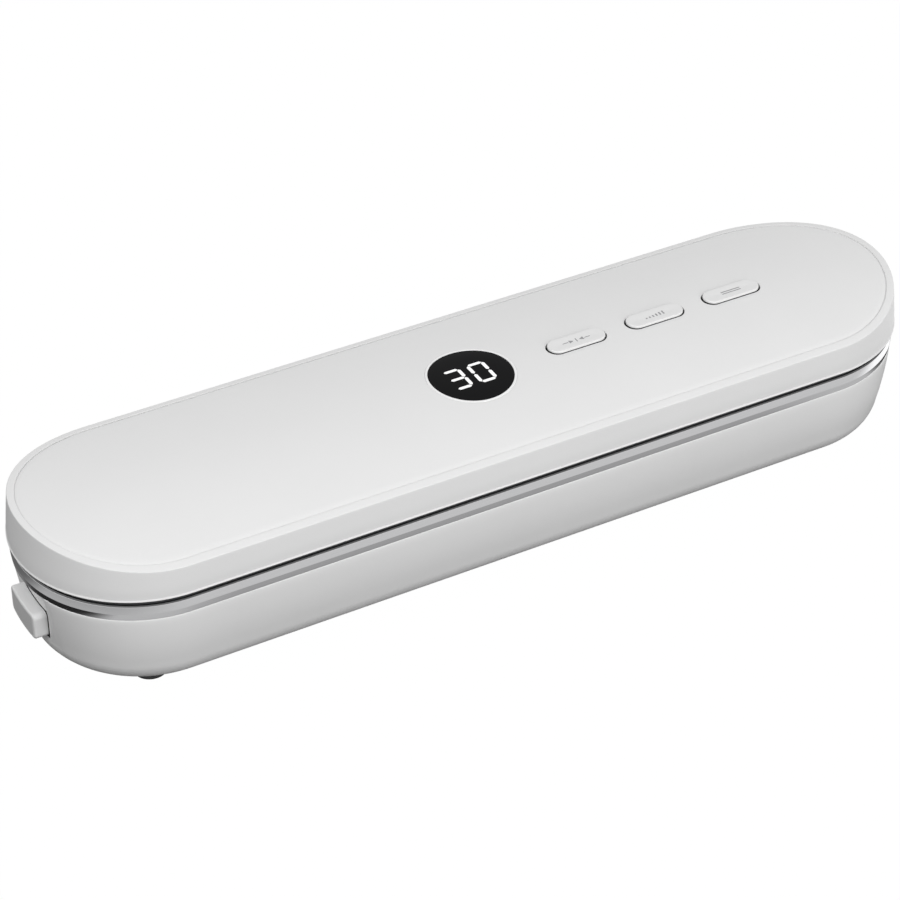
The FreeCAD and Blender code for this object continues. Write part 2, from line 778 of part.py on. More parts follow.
def latch_button():
    """Button with rounded corners, an inner flange and a stem."""
    cap_length = flange_x - latch_face_x
    block = rounded_block(cap_length, S["latch_width"], S["latch_height"], S["latch_corner"],
                          latch_face_x + cap_length / 2.0, S["latch_z"])
    edge_x = float(latch_face_x) + 1e-4
    softened = rounded(block, S["latch_round"], lambda edge: edge.BoundBox.XMax < edge_x)
    half = S["latch_width"] / 2.0
    dish = S["latch_dish"]
    dish_radius = (half * half + dish * dish) / (2.0 * dish)
    dish_low = S["latch_z"] - S["latch_height"]
    dish_x = latch_face_x + dish - dish_radius
    cap = cut(softened, rod(dish_radius, 2.0 * S["latch_height"], dish_x, 0.0, dish_low))
    flange_width = S["latch_width"] + 2.0 * S["flange_border"]
    flange_height = S["latch_height"] + 2.0 * S["flange_border"]
    middle_x = flange_x + S["flange_thickness"] / 2.0
    flange_low = S["latch_z"] - flange_height / 2.0
    flange = box(S["flange_thickness"], flange_width, flange_height, middle_x, 0.0, flange_low)
    stem_end = -hook_x + tongue_x
    stem = box(stem_end - stem_start_x, S["stem_width"], S["stem_height"], (stem_end + stem_start_x) / 2.0,
               S["stem_y"], S["latch_z"] - S["stem_height"] / 2.0 - S["flange_border"])
    return fuse(cap, flange, stem)


def latch_bezel():
    """Frame that fills the window in the shell and stands a little proud of it."""
    proud = S["base_inset"] - S["bezel_proud"]
    prism = doc.addObject("PartDesign::Body", "BezelPrism")
    pad_outline(prism, "BezelPad", S["length"] - 2.0 * proud, S["width"] - 2.0 * proud, z_rim,
                S["base_height"], lean=S["base_lean"], down=True)
    length = S["bezel_depth"] + S["base_lean"]
    gap = S["fit_clearance"]
    centre = bezel_back_x - length / 2.0
    frame = rounded_block(length, bezel_width - 2.0 * gap, bezel_height - 2.0 * gap, S["latch_corner"],
                          centre, S["latch_z"])
    hole = rounded_block(2.0 * length, S["latch_width"] + 2.0 * S["latch_gap"],
                         S["latch_height"] + 2.0 * S["latch_gap"], S["latch_corner"], centre, S["latch_z"])
    return cut(common(frame, prism), hole)


def release_bar():
    """Bar along the base that ties the latch button to the catch plate of each hook."""
    plate_x = [x + tongue_x + S["bar_thickness"] / 2.0 for _, x in hook_places]
    top = S["bar_z"] + S["bar_height"]
    middle = (plate_x[0] + plate_x[1]) / 2.0
    span = plate_x[1] - plate_x[0]
    pieces = [box(span, S["bar_thickness"], S["bar_height"], middle, S["bar_y"], S["bar_z"])]
    rear = S["hook_width"] / 2.0
    depth = rear - S["bar_y"] + S["bar_thickness"] / 2.0
    for x in plate_x:
        pieces.append(box(S["bar_thickness"], depth, top - hook_bottom, x, rear - depth / 2.0, hook_bottom))
    drop = S["latch_z"] - S["stem_height"]
    pieces.append(box(S["bar_thickness"], S["stem_width"], top - drop, plate_x[0], S["stem_y"], drop))
    return fuse(*pieces)


def latch_spring():
    """Coil that pushes the latch out, between its flange and the seat on the base shell."""
    wire = float(S["spring_wire"])
    radius = float(S["spring_radius"])
    gap = float(S["fit_clearance"])
    halves = int(2 * float(S["spring_turns"]))
    rise = (float(S["spring_length"]) - 2 * (wire + gap)) / halves
    arcs = []
    for i in range(halves):
        side = 1 if i % 2 == 0 else -1
        start = Vector(side * radius, 0, i * rise)
        crest = Vector(0, side * radius, (i + 0.5) * rise)
        end = Vector(-side * radius, 0, (i + 1) * rise)
        arcs.append(Part.Arc(start, crest, end).toShape())
    section = Part.Wire(Part.makeCircle(wire, Vector(radius, 0, 0), Vector(0, 1, 0)))
    spring = doc.addObject("Part::Feature", "Spring")
    spring.Shape = Part.Wire(arcs).makePipeShell([section], True, False)
    place = Vector(float(stem_start_x) + wire + gap, float(spring_y), float(S["latch_z"]))
    spring.Placement = Placement(place, TURNS["X"])
    return spring


def hose_path(radius):
    """Solid that follows the hose: out of the nipple, round one bend and up to the port."""
    bend = S["hose_bend"]
    x = S["pump_x"]
    bend_y = S["trough_y"] - bend
    level = rod(radius, bend_y - hose_start_y, x, hose_start_y, hose_z, "Y")
    turn = doc.addObject("Part::Torus", "Bend")
    turn.Angle3 = 90
    turn.Placement = Placement(Vector(), TURNS["X"])
    bind(turn, Radius1=bend, Radius2=radius)
    move_to(turn, x, bend_y, hose_z + bend)
    rise = rod(radius, port_low - hose_z - bend, x, S["trough_y"], hose_z + bend)
    return fuse(level, turn, rise)


def vacuum_hose():
    """Hose from the pump to the suction port."""
    return cut(hose_path(S["hose_radius"]), hose_path(S["hose_bore"]))


# Air path heights
trough_floor = z_band - S["trough_depth"]
port_low = trough_floor - S["trough_wall"] - S["port_drop"]
hose_z = port_low - S["hose_bend"] - S["port_drop"] / 2.0
hose_start_y = S["pump_y"] + S["pump_head_width"] / 2.0 + S["nipple_length"]


def suction_port():
    """Flanged tube through the floor of the trough."""
    drop = trough_floor - port_low
    tube = rod(S["hose_radius"], drop, S["pump_x"], S["trough_y"], port_low)
    flange = rod(S["port_flange_radius"], S["port_flange"], S["pump_x"], S["trough_y"], trough_floor)
    bore = rod(S["hose_bore"], drop + S["port_flange"], S["pump_x"], S["trough_y"], port_low)
    return cut(fuse(tube, flange), bore)


def pump_head():
    """Diaphragm pump head with a nipple for the hose."""
    x = S["pump_x"]
    block = box(S["pump_head_length"], S["pump_head_width"], S["pump_head_height"], x, S["pump_y"], z_floor)
    nipple = rod(S["hose_radius"], S["nipple_length"], x, hose_start_y - S["nipple_length"], hose_z, "Y")
    bore_y = hose_start_y - 2.0 * S["nipple_length"]
    bore = rod(S["hose_bore"], 2.0 * S["nipple_length"], S["pump_x"], bore_y, hose_z, "Y")
    return cut(fuse(block, nipple), bore)


motor_x = S["pump_x"] + S["pump_head_length"] / 2.0


def pump_motor():
    """Round motor with a shaft boss at its far end."""
    can = rod(S["motor_radius"], S["motor_length"], motor_x, S["pump_y"], S["motor_axis_z"], "X")
    end_x = motor_x + S["motor_length"]
    boss = rod(S["motor_radius"] / 3.0, S["hose_radius"], end_x, S["pump_y"], S["motor_axis_z"], "X")
    return fuse(can, boss)


def pump_bracket():
    """Cradle under the motor."""
    x = motor_x + S["motor_length"] / 2.0
    block = box(S["bracket_length"], S["bracket_width"], S["bracket_rise"], x, S["pump_y"], z_floor)
    radius = S["motor_radius"] + S["fit_clearance"]
    hollow = rod(radius, S["motor_length"], motor_x, S["pump_y"], S["motor_axis_z"], "X")
    return cut(block, hollow)


inlet_face_y = S["width"] / 2.0 - base_inset_at(S["inlet_z"] - S["inlet_height"] / 2.0)


def power_inlet():
    """Two-pin inlet block with a recess shaped like a flat pill."""
    gap = S["fit_clearance"]
    back_y = inlet_face_y - S["inlet_depth"]
    block = box(S["inlet_length"] - 2.0 * gap, S["inlet_depth"], S["inlet_height"] - 2.0 * gap, inlet_x,
                inlet_face_y - S["inlet_depth"] / 2.0, S["inlet_z"] - S["inlet_height"] / 2.0 + gap)
    radius = S["inlet_slot_height"] / 2.0
    span = S["inlet_slot_length"] - S["inlet_slot_height"]
    floor_y = back_y + S["inlet_depth"] - S["inlet_slot_depth"]
    end_x = [inlet_x + side * span / 2.0 for side in hinge_sides]
    ends = [rod(radius, S["inlet_slot_depth"], x, floor_y, S["inlet_z"], "Y") for x in end_x]
    middle = box(span, S["inlet_slot_depth"], S["inlet_slot_height"], inlet_x,
                 floor_y + S["inlet_slot_depth"] / 2.0, S["inlet_z"] - radius)
    return cut(block, middle, *ends)


def inlet_pins():
    """The two contact pins."""
    floor_y = inlet_face_y - S["inlet_slot_depth"]
    places = [inlet_x + side * S["inlet_pin_pitch"] / 2.0 for side in hinge_sides]
    radius = S["inlet_pin_radius"]
    return fuse(*[rod(radius, S["inlet_pin_length"], x, floor_y, S["inlet_z"], "Y") for x in places])


power_top = z_floor + S["power_stand"] + S["board_thickness"]


def power_parts():
    """Board with transformer, capacitors and relay standing on it."""
    keep(box(S["power_length"], S["power_width"], S["board_thickness"], S["power_x"], S["power_y"],
             z_floor + S["power_stand"]), "power_board")
    left = S["power_x"] - S["power_length"] / 2.0
    transformer_x = left + S["transformer_length"] / 2.0 + S["stand_radius"]
    keep(box(S["transformer_length"], S["transformer_width"], S["transformer_height"], transformer_x,
             S["power_y"], power_top), "power_transformer")
    right = S["power_x"] + S["power_length"] / 2.0
    capacitor_x = right - S["capacitor_radius"] - S["stand_radius"]
    pitch = S["capacitor_radius"] + S["stand_radius"]
    rows = [S["power_y"] + side * pitch for side in hinge_sides]
    cans = [rod(S["capacitor_radius"], S["capacitor_height"], capacitor_x, y, power_top) for y in rows]
    keep(fuse(*cans), "filter_capacitors")
    relay_x = capacitor_x - S["capacitor_radius"] - S["stand_radius"] - S["relay_length"] / 2.0
    relay = box(S["relay_length"], S["relay_width"], S["relay_height"], relay_x, S["power_y"], power_top)
    keep(relay, "heater_relay")


def screw(x, y, seat, length, head):
    """Screw with its head's bearing face at seat; the shank runs up from it."""
    shank = rod(S["screw_radius"], length, x, y, seat)
    cap = rod(S["screw_head_radius"], head, x, y, seat - head)
    return fuse(shank, cap)


def foot(x, y):
    """Rubber foot with a stem in the shell's floor."""
    raw = rod(S["foot_radius"], z_base + S["foot_seat"], x, y, 0.0)
    disc = rounded(raw, S["foot_round"], lambda edge: edge.BoundBox.ZMax < 1e-6)
    stem = rod(S["foot_stem_radius"], S["foot_stem"], x, y, z_base + S["foot_seat"])
    return fuse(disc, stem)


def build_base():
    """Everything that stays still."""
    keep(base_shell(), "base_shell")
    keep(trim_band(), "trim_band")
    keep(base_deck(), "base_deck")
    gap = S["fit_clearance"]
    groove = z_band - S["gasket_groove"]
    keep(gasket_ring(groove, S["gasket_groove"] + S["gasket_proud"], gap), "lower_gasket")
    middle = Size.of(0.0)
    keep(heater_slab(gap, z_band - S["heater_depth"], S["heater_depth"] + S["heater_proud"]), "heater_bar")
    strip_z = z_band + S["heater_proud"]
    strip = box(S["strip_length"], S["strip_width"], S["strip_thickness"], middle, S["heater_y"], strip_z)
    keep(strip, "heating_strip")
    tape_z = strip_z + S["strip_thickness"]
    tape_width = S["heater_width"] - S["gasket_proud"]
    tape_length = S["strip_length"] + tape_width
    keep(box(tape_length, tape_width, S["tape_thickness"], middle, S["heater_y"], tape_z), "heat_tape")
    for name, side in (("left", -1.0), ("right", 1.0)):
        keep(hinge_rod(S["hinge_pin_radius"], hinge_span, side * S["hinge_x"]), "hinge_pin_" + name)
    keep(latch_bezel(), "latch_bezel")
    keep(latch_spring(), "latch_spring")
    keep(pump_head(), "pump_head")
    keep(pump_motor(), "pump_motor")
    keep(pump_bracket(), "pump_bracket")
    keep(vacuum_hose(), "vacuum_hose")
    keep(suction_port(), "suction_port")
    valve = box(S["valve_length"], S["valve_width"], S["valve_height"], S["valve_x"], S["valve_y"], z_floor)
    keep(valve, "vent_valve")
    power_parts()
    keep(power_inlet(), "power_inlet")
    keep(inlet_pins(), "inlet_pins")
    sensor_z = z_deck - S["sensor_height"]
    sensor = box(S["sensor_length"], S["sensor_width"], S["sensor_height"], S["sensor_x"], sensor_y, sensor_z)
    keep(sensor, "lid_sensor")
    for name, x, y in foot_places():
        keep(foot(x, y), "foot_" + name)
    seat = S["screw_seat"] + S["screw_head"]
    length = S["boss_split_z"] + S["screw_bite"] - seat
    keep(fuse(*[screw(x, y, seat, length, S["screw_head"]) for x, y in screw_places()]), "base_screws")


def build_lid():
    """Everything that swings with the lid."""
    keep(lid_shell(), "lid_shell")
    keep(top_panel(), "top_panel")
    keep(display_ring(), "display_ring")
    keep(display_lens(), "display_lens")
    y = S["control_y"]
    board_z = z_board_top - S["board_thickness"]
    keep(box(board_length, S["board_depth"], S["board_thickness"], board_x, y, board_z), "control_board")
    module_top = z_crown - S["panel_thickness"] - S["lid_skin"] / 2.0
    module = S["display_radius"] - S["lid_wall"]
    module_height = module_top - z_board_top
    keep(box(module * 1.5, module, module_height, Size.of(0.0), y, z_board_top), "display_module")
    side = S["switch_size"]
    switches = [box(side, side, S["switch_height"], x, y, z_board_top) for x in button_places()]
    keep(fuse(*switches), "tact_switches")
    keep(lid_liner(), "lid_liner")
    gap = S["fit_clearance"]
    gasket_low = z_band + S["gasket_proud"] + S["seal_clearance"]
    keep(gasket_ring(gasket_low, z_liner + S["gasket_groove"] - gasket_low, gap), "upper_gasket")
    strip_low = z_band + S["heater_proud"] + S["strip_thickness"] + S["tape_thickness"] + S["seal_clearance"]
    keep(heater_slab(gap, strip_low, z_liner + S["gasket_groove"] - strip_low), "pressure_strip")
    for name, x in hook_places:
        keep(latch_hook(x), "latch_hook_" + name)
    magnet = rod(S["magnet_radius"], S["magnet_height"], S["sensor_x"], sensor_y, z_liner_top)
    keep(magnet, "lid_magnet")
    seat = z_liner + S["liner_screw_head"]
    length = S["liner_thickness"] - S["liner_screw_head"] + S["liner_screw_length"] - gap
    head = S["liner_screw_head"]
    keep(fuse(*[screw(x, y, seat, length, head) for x, y in liner_screw_places()]), "liner_screws")


def build_controls():
    """Push buttons and the release latch."""
    for name, x in zip(("vacuum_seal_button", "pulse_button", "seal_button"), button_places()):
        keep(push_button(x), name)
    keep(latch_button(), "latch_button")
    keep(release_bar(), "release_bar")


def write_parts():
    """Check every object and write each sub-part to its own file."""
    doc.recompute()
    for obj in doc.Objects:
        if "Invalid" in obj.State or "Error" in obj.State:
            raise RuntimeError("%s (%s) failed: %s" % (obj.Name, obj.Label, obj.State))
    os.makedirs("parts", exist_ok=True)
    for obj in nodes:
        shape = obj.Shape
        if shape.isNull() or not shape.isValid() or not shape.Solids:
            raise RuntimeError("%s has no valid solid" % obj.Label)
    for obj in nodes:
        obj.Shape.exportStep("parts/%s.step" % obj.Label)
    print("%d sub-parts written" % len(nodes))


build_base()
build_lid()
build_controls()
write_parts()
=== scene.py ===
"""Looks of a countertop vacuum sealer: smooth skins, finishes, studio floor, light and camera.

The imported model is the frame. Sizes below are in millimetres and become metres when a mesh is made.
"""

import logging
import math
from dataclasses import dataclass, field
from enum import Enum
from typing import Any, Optional, Sequence, Union

import bmesh
import bpy
import numpy as np
from mathutils import Matrix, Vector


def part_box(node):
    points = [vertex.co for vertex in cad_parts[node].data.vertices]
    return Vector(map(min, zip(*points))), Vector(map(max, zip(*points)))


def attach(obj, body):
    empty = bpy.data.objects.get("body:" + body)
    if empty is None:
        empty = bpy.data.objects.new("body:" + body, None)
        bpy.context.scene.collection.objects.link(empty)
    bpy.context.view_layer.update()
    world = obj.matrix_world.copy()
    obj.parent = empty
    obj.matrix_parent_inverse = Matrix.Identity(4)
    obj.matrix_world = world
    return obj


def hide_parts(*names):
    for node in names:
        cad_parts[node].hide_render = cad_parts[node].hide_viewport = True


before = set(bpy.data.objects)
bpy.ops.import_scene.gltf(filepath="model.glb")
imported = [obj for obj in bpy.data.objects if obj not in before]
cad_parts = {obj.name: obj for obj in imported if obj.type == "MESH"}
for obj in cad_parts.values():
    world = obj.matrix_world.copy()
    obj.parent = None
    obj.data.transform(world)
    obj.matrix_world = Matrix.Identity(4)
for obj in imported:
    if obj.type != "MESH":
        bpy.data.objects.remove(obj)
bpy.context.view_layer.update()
LOG = logging.getLogger("sealer")
MM = 0.001
Array = np.ndarray
Number = Union[float, "Sock"]
Profile = tuple[tuple[float, float], ...]


class Body(str, Enum):
    """Bodies of the frame that pieces ride on."""

    BASE = "base"
    LID = "lid"
    VACUUM = "vacuum_seal_press"
    PULSE = "pulse_press"
    SEAL = "seal_press"
    LATCH = "latch"


class Grain(Enum):
    """Small surface patterns that a finish can carry."""

    SPARK = "fine spark-eroded mould texture"
    BRUSHED = "fine lines along the sealer"
    FOAM = "open pores"
    WEAVE = "plain weave"
    BOARD = "copper tracks under solder mask"
    PLAIN = "smooth with faint clouding"


class Sock:
    """A shader value on which arithmetic adds Math nodes."""

    def __init__(self, graph: "Graph", socket: bpy.types.NodeSocket) -> None:
        """Keep the graph and the output socket."""
        self.graph = graph
        self.socket = socket

    def _math(self, operation: str, *values: Number) -> "Sock":
        """Add one Math node.

        Args:
            operation: The node's operation.
            values: Its inputs in order, sockets or numbers.

        Returns:
            The node's result.
        """
        return self.graph.node("ShaderNodeMath", {"operation": operation}, dict(enumerate(values)))["Value"]

    def __add__(self, other: Number) -> "Sock":
        """Sum."""
        return self._math("ADD", self, other)

    __radd__ = __add__

    def __sub__(self, other: Number) -> "Sock":
        """Difference."""
        return self._math("SUBTRACT", self, other)

    def __rsub__(self, other: Number) -> "Sock":
        """Difference with the operands exchanged."""
        return self._math("SUBTRACT", other, self)

    def __mul__(self, other: Number) -> "Sock":
        """Product."""
        return self._math("MULTIPLY", self, other)

    __rmul__ = __mul__

    def __abs__(self) -> "Sock":
        """Absolute value."""
        return self._math("ABSOLUTE", self)

    def sine(self) -> "Sock":
        """Sine of the value in radians."""
        return self._math("SINE", self)

    def root(self) -> "Sock":
        """Square root."""
        return self._math("SQRT", self)

    def at_most(self, other: Number) -> "Sock":
        """Smaller of two values."""
        return self._math("MINIMUM", self, other)

    def at_least(self, other: Number) -> "Sock":
        """Larger of two values."""
        return self._math("MAXIMUM", self, other)

    def ramp(self, low: float, high: float) -> "Sock":
        """Smooth step of the value.

        Args:
            low: Value at which the step starts.
            high: Value at which it ends.

        Returns:
            0 up to low, and 1 from high.
        """
        settings = {"interpolation_type": "SMOOTHSTEP"}
        inputs = {"Value": self, "From Min": low, "From Max": high}
        return self.graph.node("ShaderNodeMapRange", settings, inputs)["Result"]


class Made:
    """A shader node whose outputs are read by name as Sock values."""

    def __init__(self, graph: "Graph", item: bpy.types.Node) -> None:
        """Keep the graph and the node."""
        self.graph = graph
        self.item = item

    def __getitem__(self, name: str) -> Sock:
        """Enabled output of that name."""
        found = [out for out in self.item.outputs if out.name == name and out.enabled]
        return Sock(self.graph, found[0])


class Graph:
    """Node tree of a material or world, emptied and ready to be filled."""

    def __init__(self, owner: Union[bpy.types.Material, bpy.types.World]) -> None:
        """Turn nodes on and clear the tree.

        Args:
            owner: Material or world that the tree belongs to.
        """
        owner.use_nodes = True
        self.tree = owner.node_tree
        self.tree.nodes.clear()

    def node(self, kind: str, settings: Optional[dict[str, Any]] = None,
             inputs: Optional[dict[Union[str, int], Any]] = None) -> Made:
        """Add any node.

        Args:
            kind: The node's type name.
            settings: Properties that are set before the sockets.
            inputs: Values or Sock links by socket name or number.

        Returns:
            The node, with its outputs readable by name.
        """
        item = self.tree.nodes.new(kind)
        for name, value in (settings or {}).items():
            setattr(item, name, value)
        for key, value in (inputs or {}).items():
            named = [s for s in item.inputs if s.name == key and s.enabled] if isinstance(key, str) else []
            socket = named[0] if named else item.inputs[key]
            if isinstance(value, Sock):
                self.tree.links.new(value.socket, socket)
            else:
                socket.default_value = value
        return Made(self, item)

    def mix_color(self, factor: Number, first: Any, second: Any) -> Sock:
        """Blend of two colours."""
        inputs = {"Factor": factor, "A": first, "B": second}
        return self.node("ShaderNodeMix", {"data_type": "RGBA"}, inputs)["Result"]

    def noise(self, vector: Sock, scale: float, detail: float = 2.0) -> Sock:
        """Noise from 0 to 1, with about that many cells to the metre."""
        inputs = {"Vector": vector, "Scale": scale, "Detail": detail}
        return self.node("ShaderNodeTexNoise", None, inputs)["Fac"]

    def object_axes(self) -> tuple[Sock, Sock, Sock]:
        """Object coordinates.

        Returns:
            The vector and its parts along X and Y.
        """
        vector = self.node("ShaderNodeTexCoord")["Object"]
        parts = self.node("ShaderNodeSeparateXYZ", None, {"Vector": vector})
        return vector, parts["X"], parts["Y"]


def grey(level: float) -> tuple[float, float, float, float]:
    """Neutral colour of that linear level."""
    return (level, level, level, 1.0)


# Clouding in cells to the metre, depth of a grain in millimetres and what its height adds to the roughness.
CLOUD_SCALE, CLOUD_DETAIL = 28.0, 3.0
GRAIN_DEPTH, GRAIN_GLOSS = 0.1, 0.06
COAT_ROUGHNESS = 0.12
# Darkest and lightest shade of a finish, as factors on its colour.
SHADES = (0.8, 1.2)
# Lines of the brushed grain are drawn out along X.
BRUSH_SCALE = (0.02, 1.0, 1.0)
# For each grain, what its height adds to the tone, and the tone at its lowest.
GRAIN_TONES = {Grain.SPARK: (0.01, 0.995), Grain.BRUSHED: (0.08, 0.96), Grain.FOAM: (0.3, 0.85),
               Grain.WEAVE: (0.3, 0.85), Grain.BOARD: (0.25, 0.9), Grain.PLAIN: (0.02, 0.99)}


@dataclass(frozen=True)
class Finish:
    """A surface finish that builds its own material."""

    name: str
    color: tuple[float, float, float]
    roughness: float
    grain: Grain = Grain.SPARK
    metallic: float = 0.0
    specular: float = 0.5
    coat: float = 0.0
    clouding: float = 0.02
    bump: float = 0.08
    pitch: float = 0.9

    def build(self) -> bpy.types.Material:
        """Make the material.

        Returns:
            The material, found by its name if it was made before.
        """
        title = self.name + "_finish"
        known = bpy.data.materials.get(title)
        if known:
            return known
        material = bpy.data.materials.new(title)
        graph = Graph(material)
        vector, x, y = graph.object_axes()
        cloud = (graph.noise(vector, CLOUD_SCALE, CLOUD_DETAIL) - 0.5) * (2.0 * self.clouding)
        height = self._relief(graph, vector, x, y)
        gain, lowest = GRAIN_TONES[self.grain]
        shade = (height * gain + lowest + cloud).at_least(0.0)
        dark, light = (tuple(min(1.0, part * level) for part in self.color) + (1.0,) for level in SHADES)
        color = graph.mix_color((shade - SHADES[0]) * (1.0 / (SHADES[1] - SHADES[0])), dark, light)
        roughness = cloud + (height - 0.5) * GRAIN_GLOSS + self.roughness
        relief = graph.node("ShaderNodeBump", None, {
            "Strength": self.bump, "Distance": GRAIN_DEPTH * MM, "Height": height})
        shader = graph.node("ShaderNodeBsdfPrincipled", None, {
            "Base Color": color, "Roughness": roughness, "Metallic": self.metallic,
            "Specular IOR Level": self.specular, "Coat Weight": self.coat, "Coat Roughness": COAT_ROUGHNESS,
            "Normal": relief["Normal"]})
        graph.node("ShaderNodeOutputMaterial", None, {"Surface": shader["BSDF"]})
        return material

    def _relief(self, graph: Graph, vector: Sock, x: Sock, y: Sock) -> Sock:
        """Relief of the grain.

        Args:
            graph: Tree to add to.
            vector: Object coordinates.
            x: Their first part.
            y: Their second part.

        Returns:
            Height from 0 to 1.
        """
        per_metre = 1.0 / (self.pitch * MM)
        cells = {"Vector": vector, "Scale": per_metre}
        if self.grain is Grain.BRUSHED:
            lines = graph.node("ShaderNodeMapping", None, {"Vector": vector, "Scale": BRUSH_SCALE})["Vector"]
            return graph.noise(lines, per_metre)
        if self.grain is Grain.FOAM:
            return graph.node("ShaderNodeTexVoronoi", None, cells)["Distance"]
        if self.grain is Grain.WEAVE:
            turn = 2.0 * math.pi * per_metre
            return (x * turn).sine() * (y * turn).sine() * 0.5 + 0.5
        if self.grain is Grain.BOARD:
            return graph.node("ShaderNodeTexBrick", None, cells)["Fac"]
        return graph.noise(vector, per_metre)


# Linear level of the white mouldings.
WHITE = 0.78


class Finishes:
    """All finishes of the sealer."""

    SHELL = Finish("shell_white", (WHITE, WHITE, WHITE), 0.42)
    PANEL = Finish("panel_white", (WHITE, WHITE, WHITE), 0.36, bump=0.05)
    BUTTON = Finish("button_white", (WHITE, WHITE, WHITE), 0.34, bump=0.05)
    # Painted shade: a darker copy of the button white, worn by the latch button's face.
    SHADED_FACE = Finish("latch_face_shaded", (0.58, 0.58, 0.58), 0.5, bump=0.15)
    CHROME = Finish("trim_chrome", (0.75, 0.75, 0.76), 0.14, Grain.BRUSHED, 1.0, bump=0.03, pitch=0.3)
    LENS = Finish("display_black", (0.010, 0.010, 0.0105), 0.22, Grain.PLAIN, specular=0.02, clouding=0.01, bump=0.01)
    RING = Finish("ring_white", (0.96, 0.96, 0.96), 0.30, Grain.PLAIN, bump=0.02)
    DECK = Finish("deck_grey", (0.060, 0.060, 0.063), 0.55, bump=0.2)
    # Black of sheets of painted shade: in the seam under the lid, round the foot of each button cap and round the latch
    # button.
    PAINTED_SHADE = Finish("painted_shade_black", (0.02, 0.02, 0.021), 0.7, specular=0.2, bump=0.1)
    # Grey of the strip at the band's ledge; with the black strip behind it, it makes a painted fade into the shade
    # under the lid.
    LEDGE = Finish("ledge_grey", (0.26, 0.26, 0.265), 0.6, specular=0.2, bump=0.1)
    GASKET = Finish("gasket_foam", (0.03, 0.03, 0.032), 0.85, Grain.FOAM, specular=0.2, bump=0.5, pitch=0.7)
    STRIP = Finish("strip_rubber", (0.16, 0.05, 0.04), 0.62, Grain.PLAIN, bump=0.1)
    CARRIER = Finish("heater_carrier", (0.10, 0.10, 0.10), 0.6)
    RIBBON = Finish("heating_ribbon", (0.62, 0.60, 0.57), 0.32, Grain.BRUSHED, 1.0, bump=0.1, pitch=0.4)
    TAPE = Finish("tape_brown", (0.24, 0.17, 0.10), 0.5, Grain.WEAVE, bump=0.3, pitch=0.8)
    FOOT = Finish("foot_rubber", (0.055, 0.055, 0.056), 0.75, Grain.PLAIN, specular=0.3, bump=0.15, pitch=0.5)
    STEEL = Finish("hardware_steel", (0.60, 0.60, 0.61), 0.30, Grain.BRUSHED, 1.0, bump=0.08, pitch=0.4)
    BLACK = Finish("inner_black", (0.035, 0.035, 0.036), 0.5, bump=0.15)
    NATURAL = Finish("inner_white", (0.72, 0.72, 0.70), 0.45)
    MOTOR = Finish("motor_steel", (0.52, 0.52, 0.53), 0.34, Grain.BRUSHED, 1.0, bump=0.1, pitch=0.4)
    HOSE = Finish("hose_silicone", (0.66, 0.66, 0.63), 0.38, Grain.PLAIN)
    BOARD = Finish("board_green", (0.03, 0.16, 0.08), 0.35, Grain.BOARD, coat=0.3, bump=0.2, pitch=3.0)
    BRASS = Finish("contact_brass", (0.78, 0.62, 0.33), 0.28, Grain.BRUSHED, 1.0, bump=0.05, pitch=0.4)
    LEGEND = Finish("legend_grey", (0.30, 0.30, 0.31), 0.5, Grain.PLAIN, bump=0.02)


@dataclass
class Patch:
    """Points and four-sided faces of part of a surface."""

    points: Array
    faces: Array

    @staticmethod
    def grid(points: Array, close_columns: bool = False) -> "Patch":
        """Faces between neighbouring rows and columns of a grid of points.

        Args:
            points: Array of rows, columns and three coordinates.
            close_columns: Join the last column to the first.

        Returns:
            The patch, facing the way of columns crossed with rows.
        """
        rows, columns = points.shape[:2]
        column = np.arange(columns if close_columns else columns - 1)
        j, i = np.meshgrid(np.arange(rows - 1), column, indexing="ij")
        here, after, beside = j * columns, (j + 1) * columns, (i + 1) % columns
        corners = [here + i, here + beside, after + beside, after + i]
        return Patch(points.reshape(-1, 3), np.stack(corners, axis=-1).reshape(-1, 4))

    @staticmethod
    def rings(rows: Sequence[Array]) -> "Patch":
        """Patch between closed rows of points, one after another."""
        return Patch.grid(np.stack(rows), close_columns=True)

    def without(self, dropped: Array) -> "Patch":
        """Patch less the faces that a mask marks."""
        return Patch(self.points, self.faces[~dropped])

    def centres(self) -> Array:
        """Middle point of every face."""
        return self.points[self.faces].mean(axis=1)

    @staticmethod
    def joined(patches: Sequence["Patch"]) -> "Patch":
        """All patches as one list of points and faces.

        Args:
            patches: Patches to put together.

        Returns:
            One patch, its parts not merged.
        """
        offsets = np.cumsum([0] + [len(patch.points) for patch in patches])
        points = np.concatenate([patch.points for patch in patches])
        faces = np.concatenate([patch.faces + offset for patch, offset in zip(patches, offsets)])
        return Patch(points, faces)

    def to_mesh(self, name: str) -> bpy.types.Mesh:
        """Write the patch to a new mesh, in metres.

        Args:
            name: Name of the mesh.

        Returns:
            The mesh.
        """
        mesh = bpy.data.meshes.new(name)
        count = len(self.faces)
        mesh.vertices.add(len(self.points))
        mesh.vertices.foreach_set("co", (self.points * MM).ravel())
        mesh.loops.add(count * 4)
        mesh.loops.foreach_set("vertex_index", self.faces.ravel().astype(np.int32))
        mesh.polygons.add(count)
        mesh.polygons.foreach_set("loop_start", np.arange(0, count * 4, 4, dtype=np.int32))
        mesh.update(calc_edges=True)
        return mesh


